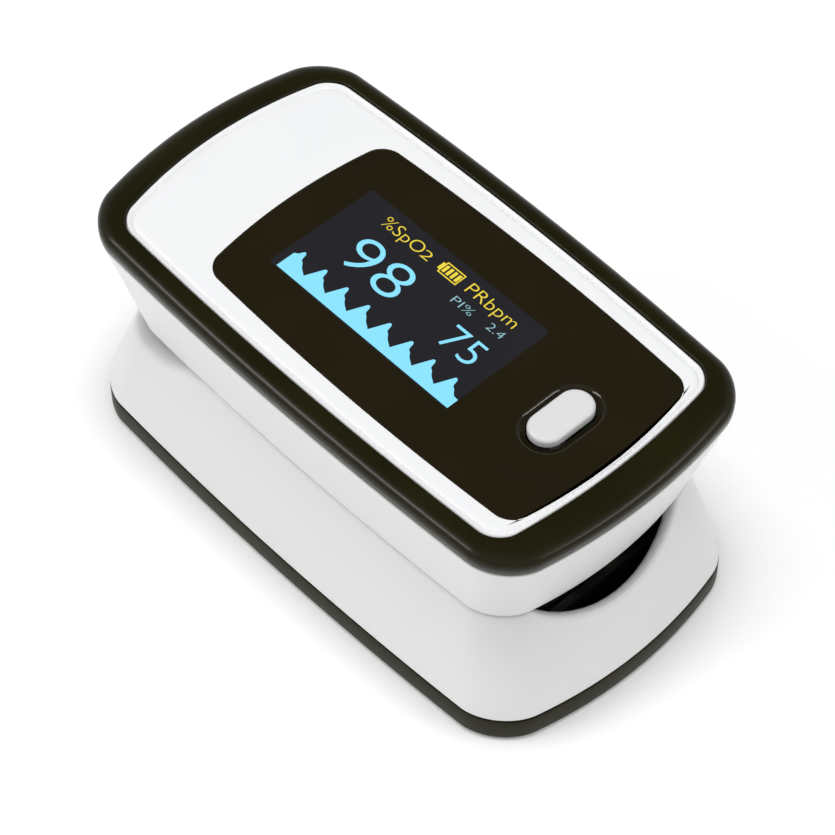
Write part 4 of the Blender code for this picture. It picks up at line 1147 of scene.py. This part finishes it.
def floor():
    """Plain white floor whose faint glow lifts it to paper white, and which still takes a shadow."""
    builder = bmesh.new()
    bmesh.ops.create_grid(builder, x_segments=8, y_segments=8, size=1500)
    piece = mesh_object("floor", builder)
    piece.location.z = -0.03 * MM  # just clear of the foot's underside
    paper = bpy.data.materials.new("white_paper_floor")
    paper.use_nodes = True
    principled = paper.node_tree.nodes["Principled BSDF"]
    principled.inputs["Base Color"].default_value = linear("#FAFAFA")
    principled.inputs["Roughness"].default_value = 0.9
    principled.inputs["Specular IOR Level"].default_value = 0.1
    principled.inputs["Emission Color"].default_value = linear("#FFFFFF")
    principled.inputs["Emission Strength"].default_value = 0.1
    piece.data.materials.append(paper)


def world_light():
    """Soft white studio all round, with a dark flag high behind, which keeps the window's reflection dim."""
    flag_toward = (0.3, 0.32, 0.9)
    world = bpy.data.worlds.new("studio")
    bpy.context.scene.world = world
    world.use_nodes = True
    tree = world.node_tree
    background = tree.nodes["Background"]
    direction = add(tree, "ShaderNodeTexCoord")
    flag = add(tree, "ShaderNodeVectorMath", {"operation": "DOT_PRODUCT"})
    tree.links.new(direction.outputs["Generated"], flag.inputs[0])
    flag.inputs[1].default_value = flag_toward
    level = add(
        tree,
        "ShaderNodeMapRange",
        {
            "interpolation_type": "SMOOTHSTEP",
            "From Min": 0.62,
            "From Max": 0.87,
            "To Min": 1.0,
            "To Max": 0.05,
        },
        {"Value": (flag, "Value")},
    )
    tree.links.new(level.outputs["Result"], background.inputs["Color"])
    background.inputs["Strength"].default_value = 0.48


def softbox(name, stand, size, power, mirrored=True):
    """A rectangular light aimed at the object. One that isn't mirrored doesn't show in the gloss."""
    aim_at = Vector((0, 0, 0.015))
    light = bpy.data.lights.new(name, "AREA")
    light.shape = "RECTANGLE"
    light.size, light.size_y = size
    light.energy = power
    holder = bpy.data.objects.new(name, light)
    bpy.context.scene.collection.objects.link(holder)
    holder.location = stand
    holder.visible_glossy = mirrored
    holder.rotation_euler = (aim_at - Vector(stand)).to_track_quat("-Z", "Y").to_euler()


def camera():
    """Looks down on the object from its front left corner, through a long lens."""
    azimuth, elevation = math.radians(-43.07), math.radians(51.78)
    distance = 0.31866
    aim_at = Vector((0, -0.00153, 0.01353))
    across = math.cos(elevation)
    back = Vector((math.sin(azimuth) * across, -math.cos(azimuth) * across, math.sin(elevation)))
    lens = bpy.data.cameras.new("camera")
    lens.lens = 147.09
    lens.sensor_width = 36
    lens.shift_x, lens.shift_y = -0.00278, -0.01909
    holder = bpy.data.objects.new("camera", lens)
    bpy.context.scene.collection.objects.link(holder)
    holder.location = aim_at + back * distance
    holder.rotation_euler = back.to_track_quat("Z", "Y").to_euler()
    bpy.context.scene.camera = holder


camera()
world_light()
softbox("overhead", (-0.02, 0.0, 0.86), (0.5, 0.5), 4.4, mirrored=False)
softbox("left_strip", (-0.5, 0.36, 0.49), (0.4, 0.09), 1.6)
softbox("front_strip", (0.33, -0.54, 0.45), (0.4, 0.06), 0.9)
floor()
bpy.context.scene.view_settings.view_transform = "Standard"

upper_case()
rim_band()
top_panel()
display_lens()
power_button()
display_figures()
lower_case()
rear_skirt()
lower_tray()
base_band()
battery_cover()
lower_finger_pad()
upper_finger_pad()
for index in range(1, 5):
    screw(f"upper_screw_{index}", "upper_jaw")
    screw(f"lower_screw_{index}", "lower_jaw")
ribbon_cable()
torsion_spring("torsion_spring_left")
torsion_spring("torsion_spring_right")
battery(1)
battery(2)
carried_nodes()
